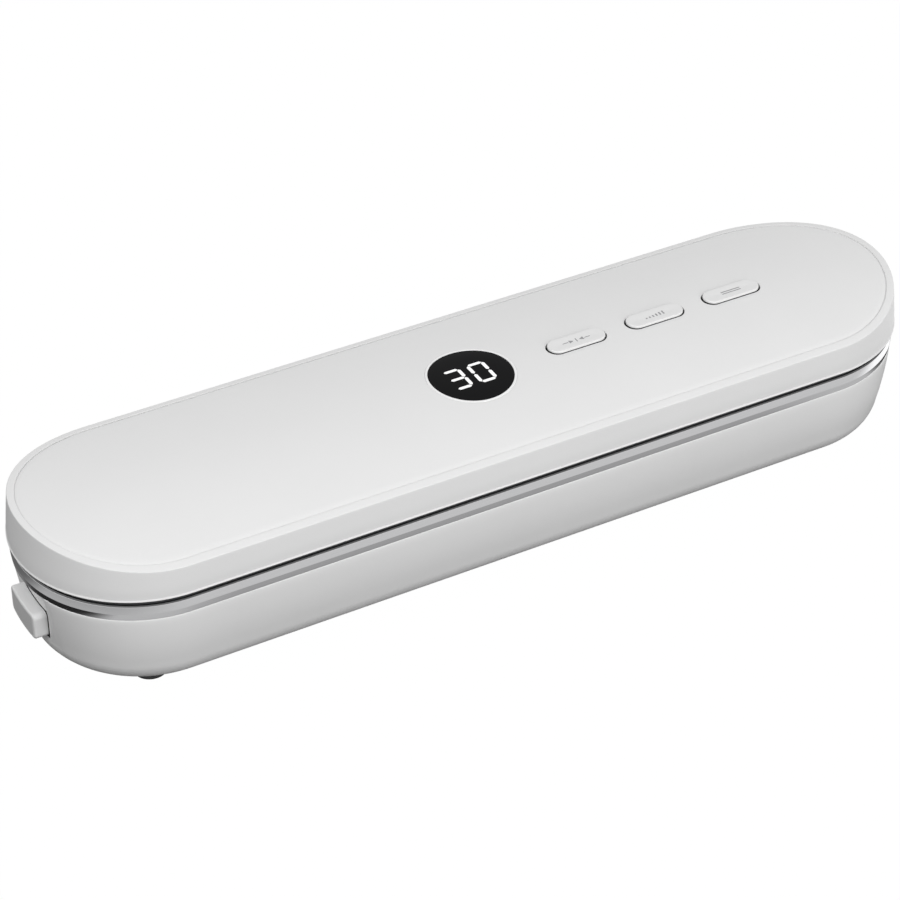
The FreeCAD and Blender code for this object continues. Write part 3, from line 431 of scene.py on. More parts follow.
@dataclass(frozen=True)
class Track:
    """Closed path in a plane, as a core point and an outward direction for each sample."""

    core: Array
    normal: Array

    @staticmethod
    def stadium(half_span: float, front: Array, rear: Array, arc: int) -> "Track":
        """Path round two end centres, counted from the front left.

        Args:
            half_span: Distance of each end centre from the middle.
            front: Places along X on the front side, rising.
            rear: Places along X on the rear side, rising.
            arc: Samples in each half circle.

        Returns:
            The track; a point at distance d is the core point plus d times the direction.
        """
        turn = np.linspace(-math.pi / 2, math.pi / 2, arc)
        right = np.stack([np.cos(turn), np.sin(turn)], axis=-1)
        inner_front, inner_rear = front[1:-1], rear[1:-1][::-1]
        core_x = np.concatenate([inner_front, np.full(arc, half_span), inner_rear, np.full(arc, -half_span)])
        down = np.tile([0.0, -1.0], (len(inner_front), 1))
        up = np.tile([0.0, 1.0], (len(inner_rear), 1))
        return Track(np.stack([core_x, np.zeros_like(core_x)], axis=-1), np.concatenate([down, right, up, -right]))

    @staticmethod
    def rounded_box(half_width: float, half_height: float, corner: int, side: int) -> "Track":
        """Path round a core rectangle, with a quarter circle at each corner.

        Args:
            half_width: Half width of the core rectangle.
            half_height: Half height of the core rectangle.
            corner: Samples in each quarter circle.
            side: Samples between two corners.

        Returns:
            The track, counted from the middle of the left side upwards.
        """
        cores, normals = [], []
        signs = ((-1, 1), (1, 1), (1, -1), (-1, -1))
        for index, (sx, sy) in enumerate(signs):
            turn = math.pi - index * math.pi / 2 - np.linspace(0, math.pi / 2, corner)
            cores.append(np.tile([sx * half_width, sy * half_height], (corner, 1)))
            normals.append(np.stack([np.cos(turn), np.sin(turn)], axis=-1))
            following = signs[(index + 1) % 4]
            share = np.linspace(0, 1, side + 2)[1:-1, None]
            target = np.array([following[0] * half_width, following[1] * half_height])
            cores.append(cores[-1][-1] * (1 - share) + target * share)
            normals.append(np.tile(normals[-1][-1], (side, 1)))
        return Track(np.concatenate(cores), np.concatenate(normals))

    def at(self, distance: Union[float, Array]) -> Array:
        """Points at a distance from the core, one for each sample."""
        return self.core + self.normal * np.asarray(distance).reshape(-1, 1)


# Angles in degrees above which an edge stays crisp, on new pieces and on copies of nodes.
SHARP, COPY_SHARP = 40.0, 28.0
# Distances in millimetres under which points are merged and edges are empty.
MERGED, EMPTY = 0.0005, 0.0001


def linked(name: str, data: Any) -> bpy.types.Object:
    """Put a new object into the scene.

    Args:
        name: Name of the object.
        data: Its mesh, camera or light.

    Returns:
        The object.
    """
    item = bpy.data.objects.new(name, data)
    bpy.context.scene.collection.objects.link(item)
    return item


@dataclass
class Workshop:
    """Turns patches into pieces that ride on the frame."""

    made: list[str] = field(default_factory=list)

    def piece(self, name: str, patches: Sequence[Patch], body: Body, finish: Finish, slot: str,
              nodes: Sequence[str] = (), wall: float = 0.0, sharp: float = SHARP) -> bpy.types.Object:
        """Make one piece.

        Args:
            name: Name of the piece.
            patches: Its surface, in millimetres.
            body: Body that it rides on.
            finish: Finish that it wears.
            slot: Material slot of the record.
            nodes: CAD nodes that it stands for.
            wall: Thickness added inwards, in millimetres.
            sharp: Angle in degrees above which an edge stays crisp.

        Returns:
            The new object.
        """
        mesh = Patch.joined(patches).to_mesh(name)
        piece = linked(name, mesh)
        self.clean(mesh, sharp)
        if wall:
            shell = piece.modifiers.new("wall", "SOLIDIFY")
            shell.thickness = wall * MM
            shell.offset = -1.0
        self.wear(mesh, finish.build())
        self.place(piece, body, slot, nodes)
        return piece

    @staticmethod
    def wear(mesh: bpy.types.Mesh, material: bpy.types.Material) -> None:
        """Make a material the only one of a mesh."""
        mesh.materials.clear()
        mesh.materials.append(material)

    @staticmethod
    def clean(mesh: bpy.types.Mesh, sharp: float) -> None:
        """Merge seams and poles, drop empty faces, and shade smooth between crisp edges.

        Args:
            mesh: Mesh to clean.
            sharp: Angle in degrees above which an edge stays crisp.
        """
        work = bmesh.new()
        work.from_mesh(mesh)
        bmesh.ops.remove_doubles(work, verts=work.verts, dist=MERGED * MM)
        bmesh.ops.dissolve_degenerate(work, edges=work.edges, dist=EMPTY * MM)
        for face in work.faces:
            face.smooth = True
        work.to_mesh(mesh)
        work.free()
        mesh.set_sharp_from_angle(angle=math.radians(sharp))
        mesh.update()

    @staticmethod
    def weigh_normals(mesh: bpy.types.Mesh) -> None:
        """Let large faces rule the shading: each corner's normal is the area-weighted mean up to the crisp edges.

        Args:
            mesh: Merged mesh whose crisp edges are marked.
        """
        work = bmesh.new()
        work.from_mesh(mesh)
        bmesh.ops.split_edges(work, edges=[edge for edge in work.edges if not edge.smooth])
        parts = bpy.data.meshes.new("parts")
        work.to_mesh(parts)
        work.free()
        count = len(parts.polygons)
        area, normal = np.empty(count), np.empty(count * 3)
        parts.polygons.foreach_get("area", area)
        parts.polygons.foreach_get("normal", normal)
        corner, size = np.empty(len(parts.loops), dtype=np.int32), np.empty(count, dtype=np.int32)
        parts.loops.foreach_get("vertex_index", corner)
        parts.polygons.foreach_get("loop_total", size)
        total = np.zeros((len(parts.vertices), 3))
        np.add.at(total, corner, np.repeat(normal.reshape(-1, 3) * area[:, None], size, axis=0))
        length = np.maximum(np.linalg.norm(total, axis=1, keepdims=True), 1e-12)
        mesh.normals_split_custom_set((total / length)[corner].tolist())
        bpy.data.meshes.remove(parts)

    def place(self, piece: bpy.types.Object, body: Body, slot: str, nodes: Sequence[str]) -> None:
        """Tie a piece to its body, hide the nodes that it stands for, and report it.

        Args:
            piece: Finished piece.
            body: Body that it rides on.
            slot: Material slot of the record. Not used.
            nodes: CAD nodes that it stands for.
        """
        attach(piece, body.value)
        if nodes:
            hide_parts(*nodes)
        self.made.append(piece.name)
        LOG.info("%s on %s: %d faces", piece.name, body.value, len(piece.data.polygons))

    def smooth_copy(self, node: str, body: Body, finish: Finish) -> None:
        """Stand in for a node with a merged copy of its mesh that shades smoothly.

        Args:
            node: CAD node.
            body: Body that it rides on.
            finish: Finish that it wears; the record's material slot has its name.
        """
        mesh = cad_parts[node].data.copy()
        mesh.name = node + "_skin"
        self.clean(mesh, COPY_SHARP)
        self.weigh_normals(mesh)
        self.wear(mesh, finish.build())
        self.place(linked(node + "_skin", mesh), body, finish.name, (node,))

    def dress_node(self, node: str, finish: Finish) -> None:
        """Give a CAD node that stays its finish."""
        self.wear(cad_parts[node].data, finish.build())

    def fit_out(self, body: Body, smooth: dict[str, Finish], plain: dict[str, Finish]) -> None:
        """Finish the CAD nodes of a body that have no surface of their own here.

        Args:
            body: Body that the nodes are on.
            smooth: Finish of each node that can be seen, and gets a smooth copy.
            plain: Finish of each node that stays as it is.
        """
        for node, finish in smooth.items():
            self.smooth_copy(node, body, finish)
        for node, finish in plain.items():
            self.dress_node(node, finish)


# Turns, in radians, of the rows round a softened edge.
QUARTER = np.radians((30.0, 60.0, 90.0))


def stack(plane: Array, height: Union[float, Array]) -> Array:
    """Points in the plane with their heights as third coordinate."""
    level = np.broadcast_to(np.asarray(height, dtype=float), plane.shape[:1])
    return np.concatenate([plane, level[:, None]], axis=1)


def lathe(profile: Sequence[tuple[float, float]], first: float, second: float, around: int = 48,
          along_x: bool = False) -> Patch:
    """Surface of revolution: radius and place along the axis of the profile, turned round that axis.

    Args:
        profile: Radius and place of each ring.
        first: Place of the axis along X, or along Y if it runs along X.
        second: Place of the axis along Y, or along Z if it runs along X.
        around: Samples in each ring.
        along_x: Lay the axis along X and not upright.

    Returns:
        The surface.
    """
    turn = np.linspace(0, 2 * math.pi, around, endpoint=False)
    outline = np.asarray(profile, dtype=float)
    radius, place = outline[:, :1], outline[:, 1:]
    points = np.stack([first + radius * np.cos(turn), second + radius * np.sin(turn), place + 0 * turn], axis=-1)
    return Patch.grid(np.roll(points, 1, axis=-1) if along_x else points, close_columns=True)


def eased(share: Array) -> Array:
    """Smooth step: three times the square less twice the cube, held between 0 and 1."""
    held = np.clip(share, 0.0, 1.0)
    return held ** 2 * (3 - 2 * held)


@dataclass
class Form:
    """Shared outline, levels and arched top of the sealer, read from the frame where it gives them."""

    half_length: float = field(init=False)
    radius: float = field(init=False)
    rim_z: float = field(init=False)
    band_z: float = field(init=False)
    seam_z: float = 47.2
    wall_z: float = 59.1
    crown_z: float = 65.2
    lid_lean: float = 1.2
    rim_width: float = 3.4
    panel_gap: float = 0.08
    panel_thickness: float = 1.6
    panel_edge: float = 2.6
    panel_drop: float = 0.6
    arc: int = 73
    control_y: float = -1.1
    display_x: float = -0.6
    display_y: float = -0.5
    display_radius: float = 16.8
    display_ring: float = 1.0
    display_fit: float = 0.05
    display_margin: float = 7.0
    button_x: tuple[float, ...] = (46.2, 82.2, 118.2)
    button_half_length: float = 12.95
    button_radius: float = 4.25
    button_gap: float = 0.36

    def __post_init__(self) -> None:
        """Read the overall sizes from the frame."""
        self.half_length, self.radius = (float(size / MM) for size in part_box("lid_shell")[1][:2])
        self.rim_z = float(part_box("trim_band")[0][2] / MM)
        self.band_z = float(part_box("trim_band")[1][2] / MM)

    @property
    def half_span(self) -> float:
        """Distance of the end centres from the middle."""
        return self.half_length - self.radius

    @property
    def crown_radius(self) -> float:
        """Radius of the arched top."""
        half, rise = self.radius - self.lid_lean, self.crown_z - self.wall_z
        return (half * half + rise * rise) / (2 * rise)

    def crown(self, y: Array) -> Array:
        """Height of the arched top at a place across the sealer: a circle about an axis along X."""
        rho = self.crown_radius
        return self.crown_z - rho + np.sqrt(rho * rho - np.square(y))

    @property
    def panel_inset(self) -> float:
        """Inset of the panel's outside."""
        return self.lid_lean + self.rim_width + self.panel_gap

    @property
    def field_inset(self) -> float:
        """Inset at which the panel's rolled edge has ended."""
        return self.panel_inset + self.panel_edge

    def panel_lines(self) -> list[float]:
        """Cuts between the panel's blocks.

        Returns:
            Their places along X, rising.
        """
        half_pitch = (self.button_x[1] - self.button_x[0]) / 2
        reach = self.display_radius + self.display_margin
        return [-reach, reach, self.button_x[0] - half_pitch] + [x + half_pitch for x in self.button_x]

    def panel_columns(self) -> list[Array]:
        """Samples on the panel's straight sides.

        Returns:
            Places along X, for every block.
        """
        lines = [-self.half_span] + self.panel_lines() + [self.half_span]
        counts = [30, 40, 4] + [36] * len(self.button_x) + [4]
        return [np.linspace(start, end, count) for start, end, count in zip(lines, lines[1:], counts)]

    def panel_track(self) -> Track:
        """Stadium whose samples match the panel's blocks.

        Returns:
            The track.
        """
        columns = self.panel_columns()
        side = np.concatenate([columns[0]] + [block[1:] for block in columns[1:]])
        return Track.stadium(self.half_span, side, side, self.arc)

    def plain_track(self, rear_stops: Sequence[float] = ()) -> Track:
        """Stadium with even samples.

        Args:
            rear_stops: Extra samples along X on the rear side.

        Returns:
            The track.
        """
        even = np.linspace(-self.half_span, self.half_span, 60)
        rear = np.unique(np.round(np.concatenate([even, np.asarray(rear_stops, dtype=float)]), 4))
        return Track.stadium(self.half_span, even, rear, self.arc)


@dataclass
class Lid:
    """Lid skirt, top panel, display, hinge knuckles and the parts under the lid."""

    form: Form
    shop: Workshop
    wall: float = 2.2
    rim_round: float = 0.45
    lip_height: float = 0.75
    lip_out: float = 0.34
    groove_round: float = 0.18
    groove_depth: float = 0.5
    groove_foot: float = 1.0
    groove_fall: float = 0.4
    # Rows of inset and rise: up the inside past the wall, round the lower edge, and past the top of the lip.
    inner_edge: Profile = ((0.3, 3.6), (0.05, 0.4), (-0.2, 0.06), (-0.6, 0.0))
    lower_edge: Profile = ((0.3, 0.0), (0.1, 0.05), (0.0, 0.16), (0.0, 0.3), (0.05, 0.4))
    lip_edge: Profile = ((-0.03, -0.06), (0.0, 0.0), (0.02, 0.12))
    lip_rise: float = 0.3
    lip_step: float = 0.03
    hinge_y: float = 46.8
    hinge_z: float = 46.1
    hinge_radius: float = 2.2
    hinge_x: float = 100.0
    knuckle_from: float = 7.4
    knuckle_length: float = 8.0
    # Rounded end of a knuckle: place from its end, and what the radius lacks there.
    knuckle_edge: Profile = ((0.0, 0.3), (0.1, 0.08), (0.3, 0.0))
    pin_hole: float = 1.05
    panel_return: float = 1.0
    hole_soft: float = 0.12
    lens_lift: float = 0.012
    lens_drop: float = 0.02
    piece_depth: float = 1.5

    def build(self) -> None:
        """Make every piece of the lid."""
        self.skirt()
        self.panel()
        self.display()
        self.inside()

    def skirt(self) -> None:
        """Skirt: a profile of inset and height carried round the stadium, its top following the arch."""
        form, track = self.form, self.form.plain_track()
        lean = form.lid_lean / (form.wall_z - form.seam_z)

        def row(inset: Union[float, Array], z: Union[float, Array]) -> Array:
            """One row of points at an inset and height."""
            return stack(track.at(form.radius - np.asarray(inset)), z)

        def arch(inset: Union[float, Array], drop: float = 0.0) -> Array:
            """Height of the arch at an inset, less a drop."""
            return form.crown(track.at(form.radius - np.asarray(inset))[:, 1]) - drop

        top = np.full(len(track.core), form.wall_z)
        for _ in range(6):
            top = arch(lean * (top - form.seam_z))
        seam, lip_top, least = form.seam_z, form.seam_z + self.lip_height, self.lip_out + self.lip_step
        rows = [row(self.wall + inset, seam + rise) for inset, rise in self.inner_edge]
        rows += [row(inset, seam + rise) for inset, rise in self.lower_edge]
        rows += [row(self.lip_out + inset, lip_top + rise) for inset, rise in self.lip_edge]
        start, end = lip_top + self.lip_rise, top - self.rim_round
        for share in np.linspace(0, 1, 8):
            z = start + share * (end - start)
            rows.append(row(np.maximum(lean * (z - seam), least), z))
        corner = lean * (top - seam)
        low_inset = np.maximum(lean * (end - seam), least)
        high_inset = corner + self.rim_round
        for t in np.linspace(0, 1, 9)[1:]:
            weights = ((1 - t) ** 2, 2 * t * (1 - t), t ** 2)
            inset = weights[0] * low_inset + weights[1] * corner + weights[2] * high_inset
            z = weights[0] * end + weights[1] * top + weights[2] * arch(high_inset)
            rows.append(row(inset, z))
        edge = form.lid_lean + form.rim_width
        flat_end = edge - self.groove_round
        for share in (0.33, 0.66, 1.0):
            inset = high_inset + share * (flat_end - high_inset)
            rows.append(row(inset, arch(inset)))
        for turn in QUARTER:
            inset = flat_end + self.groove_round * math.sin(turn)
            rows.append(row(inset, arch(inset, self.groove_round * (1 - math.cos(turn)))))
        rows.append(row(edge, arch(edge, self.groove_depth)))
        foot = edge + self.groove_foot
        rows.append(row(foot, arch(foot, self.groove_depth + self.groove_fall)))
        patches = [Patch.rings(rows)] + self.knuckles()
        self.shop.piece("lid_skirt", patches, Body.LID, Finishes.SHELL, "shell_white", ("lid_shell",))

    def knuckles(self) -> list[Patch]:
        """Hinge knuckles: short rods along X with rounded ends and a hole for the pin.

        Returns:
            Two rods for each hinge.
        """
        hole, radius, edge = self.pin_hole, self.hinge_radius, self.knuckle_edge
        patches = []
        for hinge in (-self.hinge_x, self.hinge_x):
            for near in (self.knuckle_from, -self.knuckle_from - self.knuckle_length):
                low, high = hinge + near, hinge + near + self.knuckle_length
                left = [(radius - less, low + along) for along, less in edge]
                right = [(radius - less, high - along) for along, less in edge[::-1]]
                profile = [(hole, low), *left, *right, (hole, high), (hole, low)]
                patches.append(lathe(profile, self.hinge_y, self.hinge_z, 40, along_x=True))
        return patches

    def panel(self) -> None:
        """Top panel: a rolled edge carried round the stadium and blocks with round and pill-shaped holes."""
        form, track = self.form, self.form.panel_track()

        def row(inset: float, drop: float) -> Array:
            """One row at an inset, a drop below the arch."""
            plane = track.at(form.radius - inset)
            return stack(plane, form.crown(plane[:, 1]) - drop)

        rows = [row(form.panel_inset + under, form.panel_thickness) for under in (self.panel_return, 0.0)]
        for turn in np.radians(np.linspace(0, 90, 12)):
            inset = form.panel_inset + form.panel_edge * (1 - math.cos(turn))
            rows.append(row(inset, form.panel_drop * (1 - math.sin(turn))))
        patches = [Patch.rings(rows)]
        columns = form.panel_columns()
        reach = form.radius - form.field_inset
        across = reach * np.sin(np.linspace(-math.pi / 2, math.pi / 2, form.arc))
        patches.append(self.end_block(across, columns[0], -1.0))
        hole = form.display_radius + form.display_ring + form.display_fit
        patches.append(self.hole_block(columns[1], across, (form.display_x, form.display_y), 0.0, hole))
        patches.append(self.flat_block(across, columns[2]))
        seat = form.button_half_length - form.button_radius
        for block, x in zip(columns[3:-1], form.button_x):
            hole = form.button_radius + form.button_gap
            patches.append(self.hole_block(block, across, (x, form.control_y), seat, hole))
        patches.append(self.end_block(across, columns[-1], 1.0))
        self.shop.piece("top_panel_skin", patches, Body.LID, Finishes.PANEL, "panel_white", ("top_panel",),
                        sharp=50.0)

    def lifted(self, x: Array, y: Array, drop: Union[float, Array] = 0.0) -> Array:
        """Points of the arch at places x and y, less a drop."""
        return np.stack([x, y, self.form.crown(y) - drop], axis=-1)

    def flat_block(self, across: Array, columns: Array) -> Patch:
        """Block of the panel without a hole: rows across, columns along."""
        y, x = np.meshgrid(across, columns, indexing="ij")
        return Patch.grid(self.lifted(x, y))

    def end_block(self, across: Array, columns: Array, side: float) -> Patch:
        """End of the panel: lines along X from a straight cut to the end's half circle.

        Args:
            across: Places across the sealer.
            columns: Samples along X on the straight part.
            side: -1 for the left end and 1 for the right end.

        Returns:
            The block.
        """
        form = self.form
        reach = form.radius - form.field_inset
        bulge = np.sqrt(np.maximum(reach * reach - across * across, 0.0))[:, None]
        share = (columns - columns[0]) / (columns[-1] - columns[0])
        x = columns[None, :] + side * bulge * ((1 - share) if side < 0 else share)[None, :]
        y = np.repeat(across[:, None], len(columns), axis=1)
        return Patch.grid(self.lifted(x, y))

    def hole_block(self, columns: Array, across: Array, centre: tuple[float, float], seat: float,
                   radius: float) -> Patch:
        """Block of the panel with a pill-shaped hole: rings between the block's border and the hole.

        Args:
            columns: Samples along X on the block's long borders.
            across: Samples along Y on its cuts.
            centre: Place of the hole along X and Y.
            seat: Half length of the hole's core line, 0 for a round hole.
            radius: Radius of the hole.

        Returns:
            The block, with a softened edge and a wall down the hole.
        """
        low, high = across[0], across[-1]
        border = np.concatenate([
            np.stack([np.full(len(across), columns[-1]), across], axis=-1)[:-1],
            np.stack([columns[::-1], np.full(len(columns), high)], axis=-1)[:-1],
            np.stack([np.full(len(across), columns[0]), across[::-1]], axis=-1)[:-1],
            np.stack([columns, np.full(len(columns), low)], axis=-1)[:-1]])
        core_x = np.clip(border[:, 0], centre[0] - seat, centre[0] + seat)
        core = np.stack([core_x, np.full(len(border), centre[1])], axis=-1)
        away = border - core
        length = np.linalg.norm(away, axis=1, keepdims=True)
        away = away / length
        soft = self.hole_soft
        rows = []
        for share in np.linspace(0, 1, 12) ** 0.6:
            plane = core + away * (length + share * (radius + soft - length))
            rows.append(self.lifted(plane[:, 0], plane[:, 1]))
        for turn in QUARTER:
            plane = core + away * (radius + soft * (1 - math.sin(turn)))
            rows.append(self.lifted(plane[:, 0], plane[:, 1], soft * (1 - math.cos(turn))))
        plane = core + away * radius
        rows.append(self.lifted(plane[:, 0], plane[:, 1], self.form.panel_thickness))
        return Patch.rings(rows)

    def disc(self, profile: Sequence[tuple[float, float]], around: int = 120) -> Patch:
        """Rings about the display's centre that follow the arch.

        Args:
            profile: Radius of each ring, and its drop below the arch.
            around: Samples in each ring.

        Returns:
            The surface.
        """
        turn = np.linspace(0, 2 * math.pi, around, endpoint=False)
        outline = np.asarray(profile, dtype=float)
        radius, drop = outline[:, :1], outline[:, 1:]
        x, y = self.form.display_x + radius * np.cos(turn), self.form.display_y + radius * np.sin(turn)
        return Patch.grid(self.lifted(x, y, drop), close_columns=True)

    def display(self) -> None:
        """Dark window, the ring round it and the lit figures."""
        form, deep, drop = self.form, self.piece_depth, self.lens_drop
        r = form.display_radius
        lens = self.disc(((r - 0.3, deep), (r, deep), (r, 0.12), (r - 0.08, 0.05), (r - 0.3, drop), (r * 0.6, drop),
                          (r * 0.3, drop), (0.0, drop)))
        self.shop.piece("display_window", [lens], Body.LID, Finishes.LENS, "display_black", ("display_lens",))
        outer, inner = r + form.display_ring, r + form.display_fit
        edge = ((0.0, deep), (0.0, -0.02), (0.06, -0.10), (0.2, -0.15))
        ring = self.disc([(outer - less, fall) for less, fall in edge]
                         + [(inner + more, fall) for more, fall in edge[::-1]])
        self.shop.piece("display_bezel_ring", [ring], Body.LID, Finishes.RING, "ring_white", ("display_ring",))
        self.figures()

    def figures(self) -> None:
        """Seven-segment figures: each bar is a six-cornered strip with pointed ends, lying on the window."""
        width, height, pitch, stroke, gap = 6.3, 11.7, 10.5, 1.45, 0.18
        aside, below = -0.8, -0.5
        bars = {"a": (0, 1, 1), "g": (0, 0, 1), "d": (0, -1, 1), "f": (-1, 0.5, 0), "b": (1, 0.5, 0),
                "e": (-1, -0.5, 0), "c": (1, -0.5, 0)}
        shown = (("abgcd", -pitch / 2), ("abcdef", pitch / 2))
        side = stroke / 2
        across = np.array([[0, 0], [-side, side], [-side, side], [0, 0]])
        patches = []
        for letters, shift in shown:
            for px, py, level in (bars[letter] for letter in letters):
                half = (width if level else height / 2) / 2 - gap
                along = np.repeat(np.array([[-half], [-half + side], [half - side], [half]]), 2, axis=1)
                x, y = (along, across) if level else (-across, along)
                x = x + self.form.display_x + aside + shift + px * width / 2
                y = y + self.form.display_y + below + py * height / 2
                points = self.lifted(x, y, self.lens_drop - self.lens_lift)
                patches.append(Patch.grid(points.transpose(1, 0, 2)))
        piece = self.shop.piece("display_figures", patches, Body.LID, Finishes.LENS, "display_black")
        self.shop.wear(piece.data, self.figure_light())

    @staticmethod
    def figure_light() -> bpy.types.Material:
        """Make the material of the lit figures.

        Returns:
            A white glow with faint clouding.
        """
        material = bpy.data.materials.new("figure_light")
        graph = Graph(material)
        glow = graph.noise(graph.object_axes()[0], 600.0)
        color = graph.mix_color(glow, grey(0.90), grey(1.0))
        shader = graph.node("ShaderNodeBsdfPrincipled", None, {
            "Base Color": grey(0.05), "Roughness": 0.5, "Emission Color": color, "Emission Strength": 1.0})
        graph.node("ShaderNodeOutputMaterial", None, {"Surface": shader["BSDF"]})
        return material

    def inside(self) -> None:
        """Liner, seals, hooks and the closed-in boards."""
        smooth = {"lid_liner": Finishes.DECK, "upper_gasket": Finishes.GASKET, "pressure_strip": Finishes.STRIP,
                  "liner_screws": Finishes.STEEL}
        plain = {"latch_hook_left": Finishes.NATURAL, "latch_hook_right": Finishes.NATURAL,
                 "control_board": Finishes.BOARD, "display_module": Finishes.BLACK,
                 "tact_switches": Finishes.BLACK, "lid_magnet": Finishes.STEEL}
        self.shop.fit_out(Body.LID, smooth, plain)


@dataclass
class Buttons:
    """The three push buttons with their printed marks."""

    form: Form
    shop: Workshop
    proud: float = 1.0
    roll: float = 0.5
    dish: float = 0.24
    end_gap: float = 0.35
    skirt: float = 1.5
    turn_in: float = 0.6
    # Rise above the arch and outward reach of the sheet of painted shade round each cap's foot.
    gap_shade: float = 0.10
    gap_shade_out: float = 0.03
    print_lift: float = 0.02

    def build(self) -> None:
        """Make the caps and the marks."""
        names = ("vacuum_seal_button", "pulse_button", "seal_button")
        each = tuple(zip(self.form.button_x, names, (Body.VACUUM, Body.PULSE, Body.SEAL)))
        for x, node, body in each:
            self.shop.piece(node + "_cap", [self.cap(x)], body, Finishes.BUTTON, "button_white", (node,))
            # A black sheet of painted shade in the gap round each cap.
            self.shop.piece(node + "_skirt", [self.gap_shade_ring(x)], body, Finishes.PAINTED_SHADE, "inner_black")
        for (x, node, body), mark in zip(each, (self.vacuum_mark, self.pulse_mark, self.seal_mark)):
            self.shop.piece(node + "_mark", mark(x), body, Finishes.LEGEND, "button_white")

    def pill(self, x: float, profile: Sequence[tuple[float, float]]) -> Patch:
        """Profile carried round a button's outline.

        Args:
            x: Place of the button along X.
            profile: Inset of each row, and its lift above the arch.

        Returns:
            The surface.
        """
        form = self.form
        seat = form.button_half_length - form.button_radius - self.end_gap
        side = np.linspace(-seat, seat, 24)
        track = Track.stadium(seat, side, side, 33)
        planes = [track.at(form.button_radius - inset) + np.array([x, form.control_y]) for inset, _ in profile]
        return Patch.rings([stack(plane, form.crown(plane[:, 1]) + lift)
                            for plane, (_, lift) in zip(planes, profile)])

    def cap(self, x: float) -> Patch:
        """Cap: upright sides, a rolled edge and a top that follows the arch and dips to the middle.

        Args:
            x: Place of the button along X.

        Returns:
            The cap.
        """
        profile = [(self.turn_in, -self.skirt), (0.0, -self.skirt), (0.0, self.proud - self.roll)]
        for turn in np.radians(np.linspace(15, 90, 8)):
            profile.append((self.roll * (1 - math.cos(turn)), self.proud - self.roll * (1 - math.sin(turn))))
        for share in (0.3, 0.6, 0.85, 1.0):
            inset = self.roll + share * (self.form.button_radius - self.roll)
            profile.append((inset, self.proud - self.dish * share))
        return self.pill(x, profile)

    def gap_shade_ring(self, x: float) -> Patch:
        """Black sheet of painted shade round the foot of a cap, in the gap level with the panel."""
        out = -self.gap_shade_out
        return self.pill(x, ((out, -self.skirt), (out, self.gap_shade), (0.1, self.gap_shade + 0.02)))

    def strip(self, x: float, corners: Sequence[tuple[float, float]]) -> Patch:
        """Flat four-sided mark that lies on a cap: a blend of its corners, set on the dished top.

        Args:
            x: Place of the button along X.
            corners: Corners from the cap's middle, counted round the mark.

        Returns:
            The mark.
        """
        form = self.form
        a, b, c, d = (np.asarray(corner, dtype=float) for corner in corners)
        s, t = (grid[..., None] for grid in np.meshgrid(np.linspace(0, 1, 7), np.linspace(0, 1, 3)))
        plane = (1 - t) * ((1 - s) * a + s * b) + t * (s * c + (1 - s) * d)
        y = plane[..., 1] + form.control_y
        fall = self.dish * (form.button_radius - np.abs(plane[..., 1]) - self.roll) / (form.button_radius - self.roll)
        z = form.crown(y) + self.proud - np.clip(fall, 0, None) + self.print_lift
        return Patch.grid(np.stack([plane[..., 0] + x, y, z], axis=-1))

    def bar(self, x: float, centre: float, half: float, low: float, high: float) -> Patch:
        """Upright rectangle of a mark."""
        left, right = centre - half, centre + half
        return self.strip(x, ((left, low), (right, low), (right, high), (left, high)))

    def vacuum_mark(self, x: float) -> list[Patch]:
        """Arrow heads that point at a bar from both sides.

        Args:
            x: Place of the button along X.

        Returns:
            The strips of the mark.
        """
        tip, tail, blunt, wide, shaft, shaft_half = 1.4, 3.2, 0.12, 1.0, 4.9, 1.3
        marks = [self.bar(x, 0.0, 0.22, -1.1, 1.1)]
        for side in (-1.0, 1.0):
            edge = ((side * tail, -wide), (side * tip, -blunt), (side * tip, blunt), (side * tail, wide))
            marks.append(self.strip(x, edge if side < 0 else edge[::-1]))
            marks.append(self.bar(x, side * shaft, shaft_half, -0.2, 0.2))
        return marks

    def pulse_mark(self, x: float) -> list[Patch]:
        """Bars of rising height."""
        first, pitch, half, low, rise = -4.0, 1.6, 0.34, -1.0, 0.3
        return [self.bar(x, first + pitch * i, half, low, rise * (i - 1)) for i in range(6)]

    def seal_mark(self, x: float) -> list[Patch]:
        """Two long lines."""
        half, low, high = 4.4, 0.35, 0.85
        return [self.bar(x, 0.0, half, -high, -low), self.bar(x, 0.0, half, low, high)]


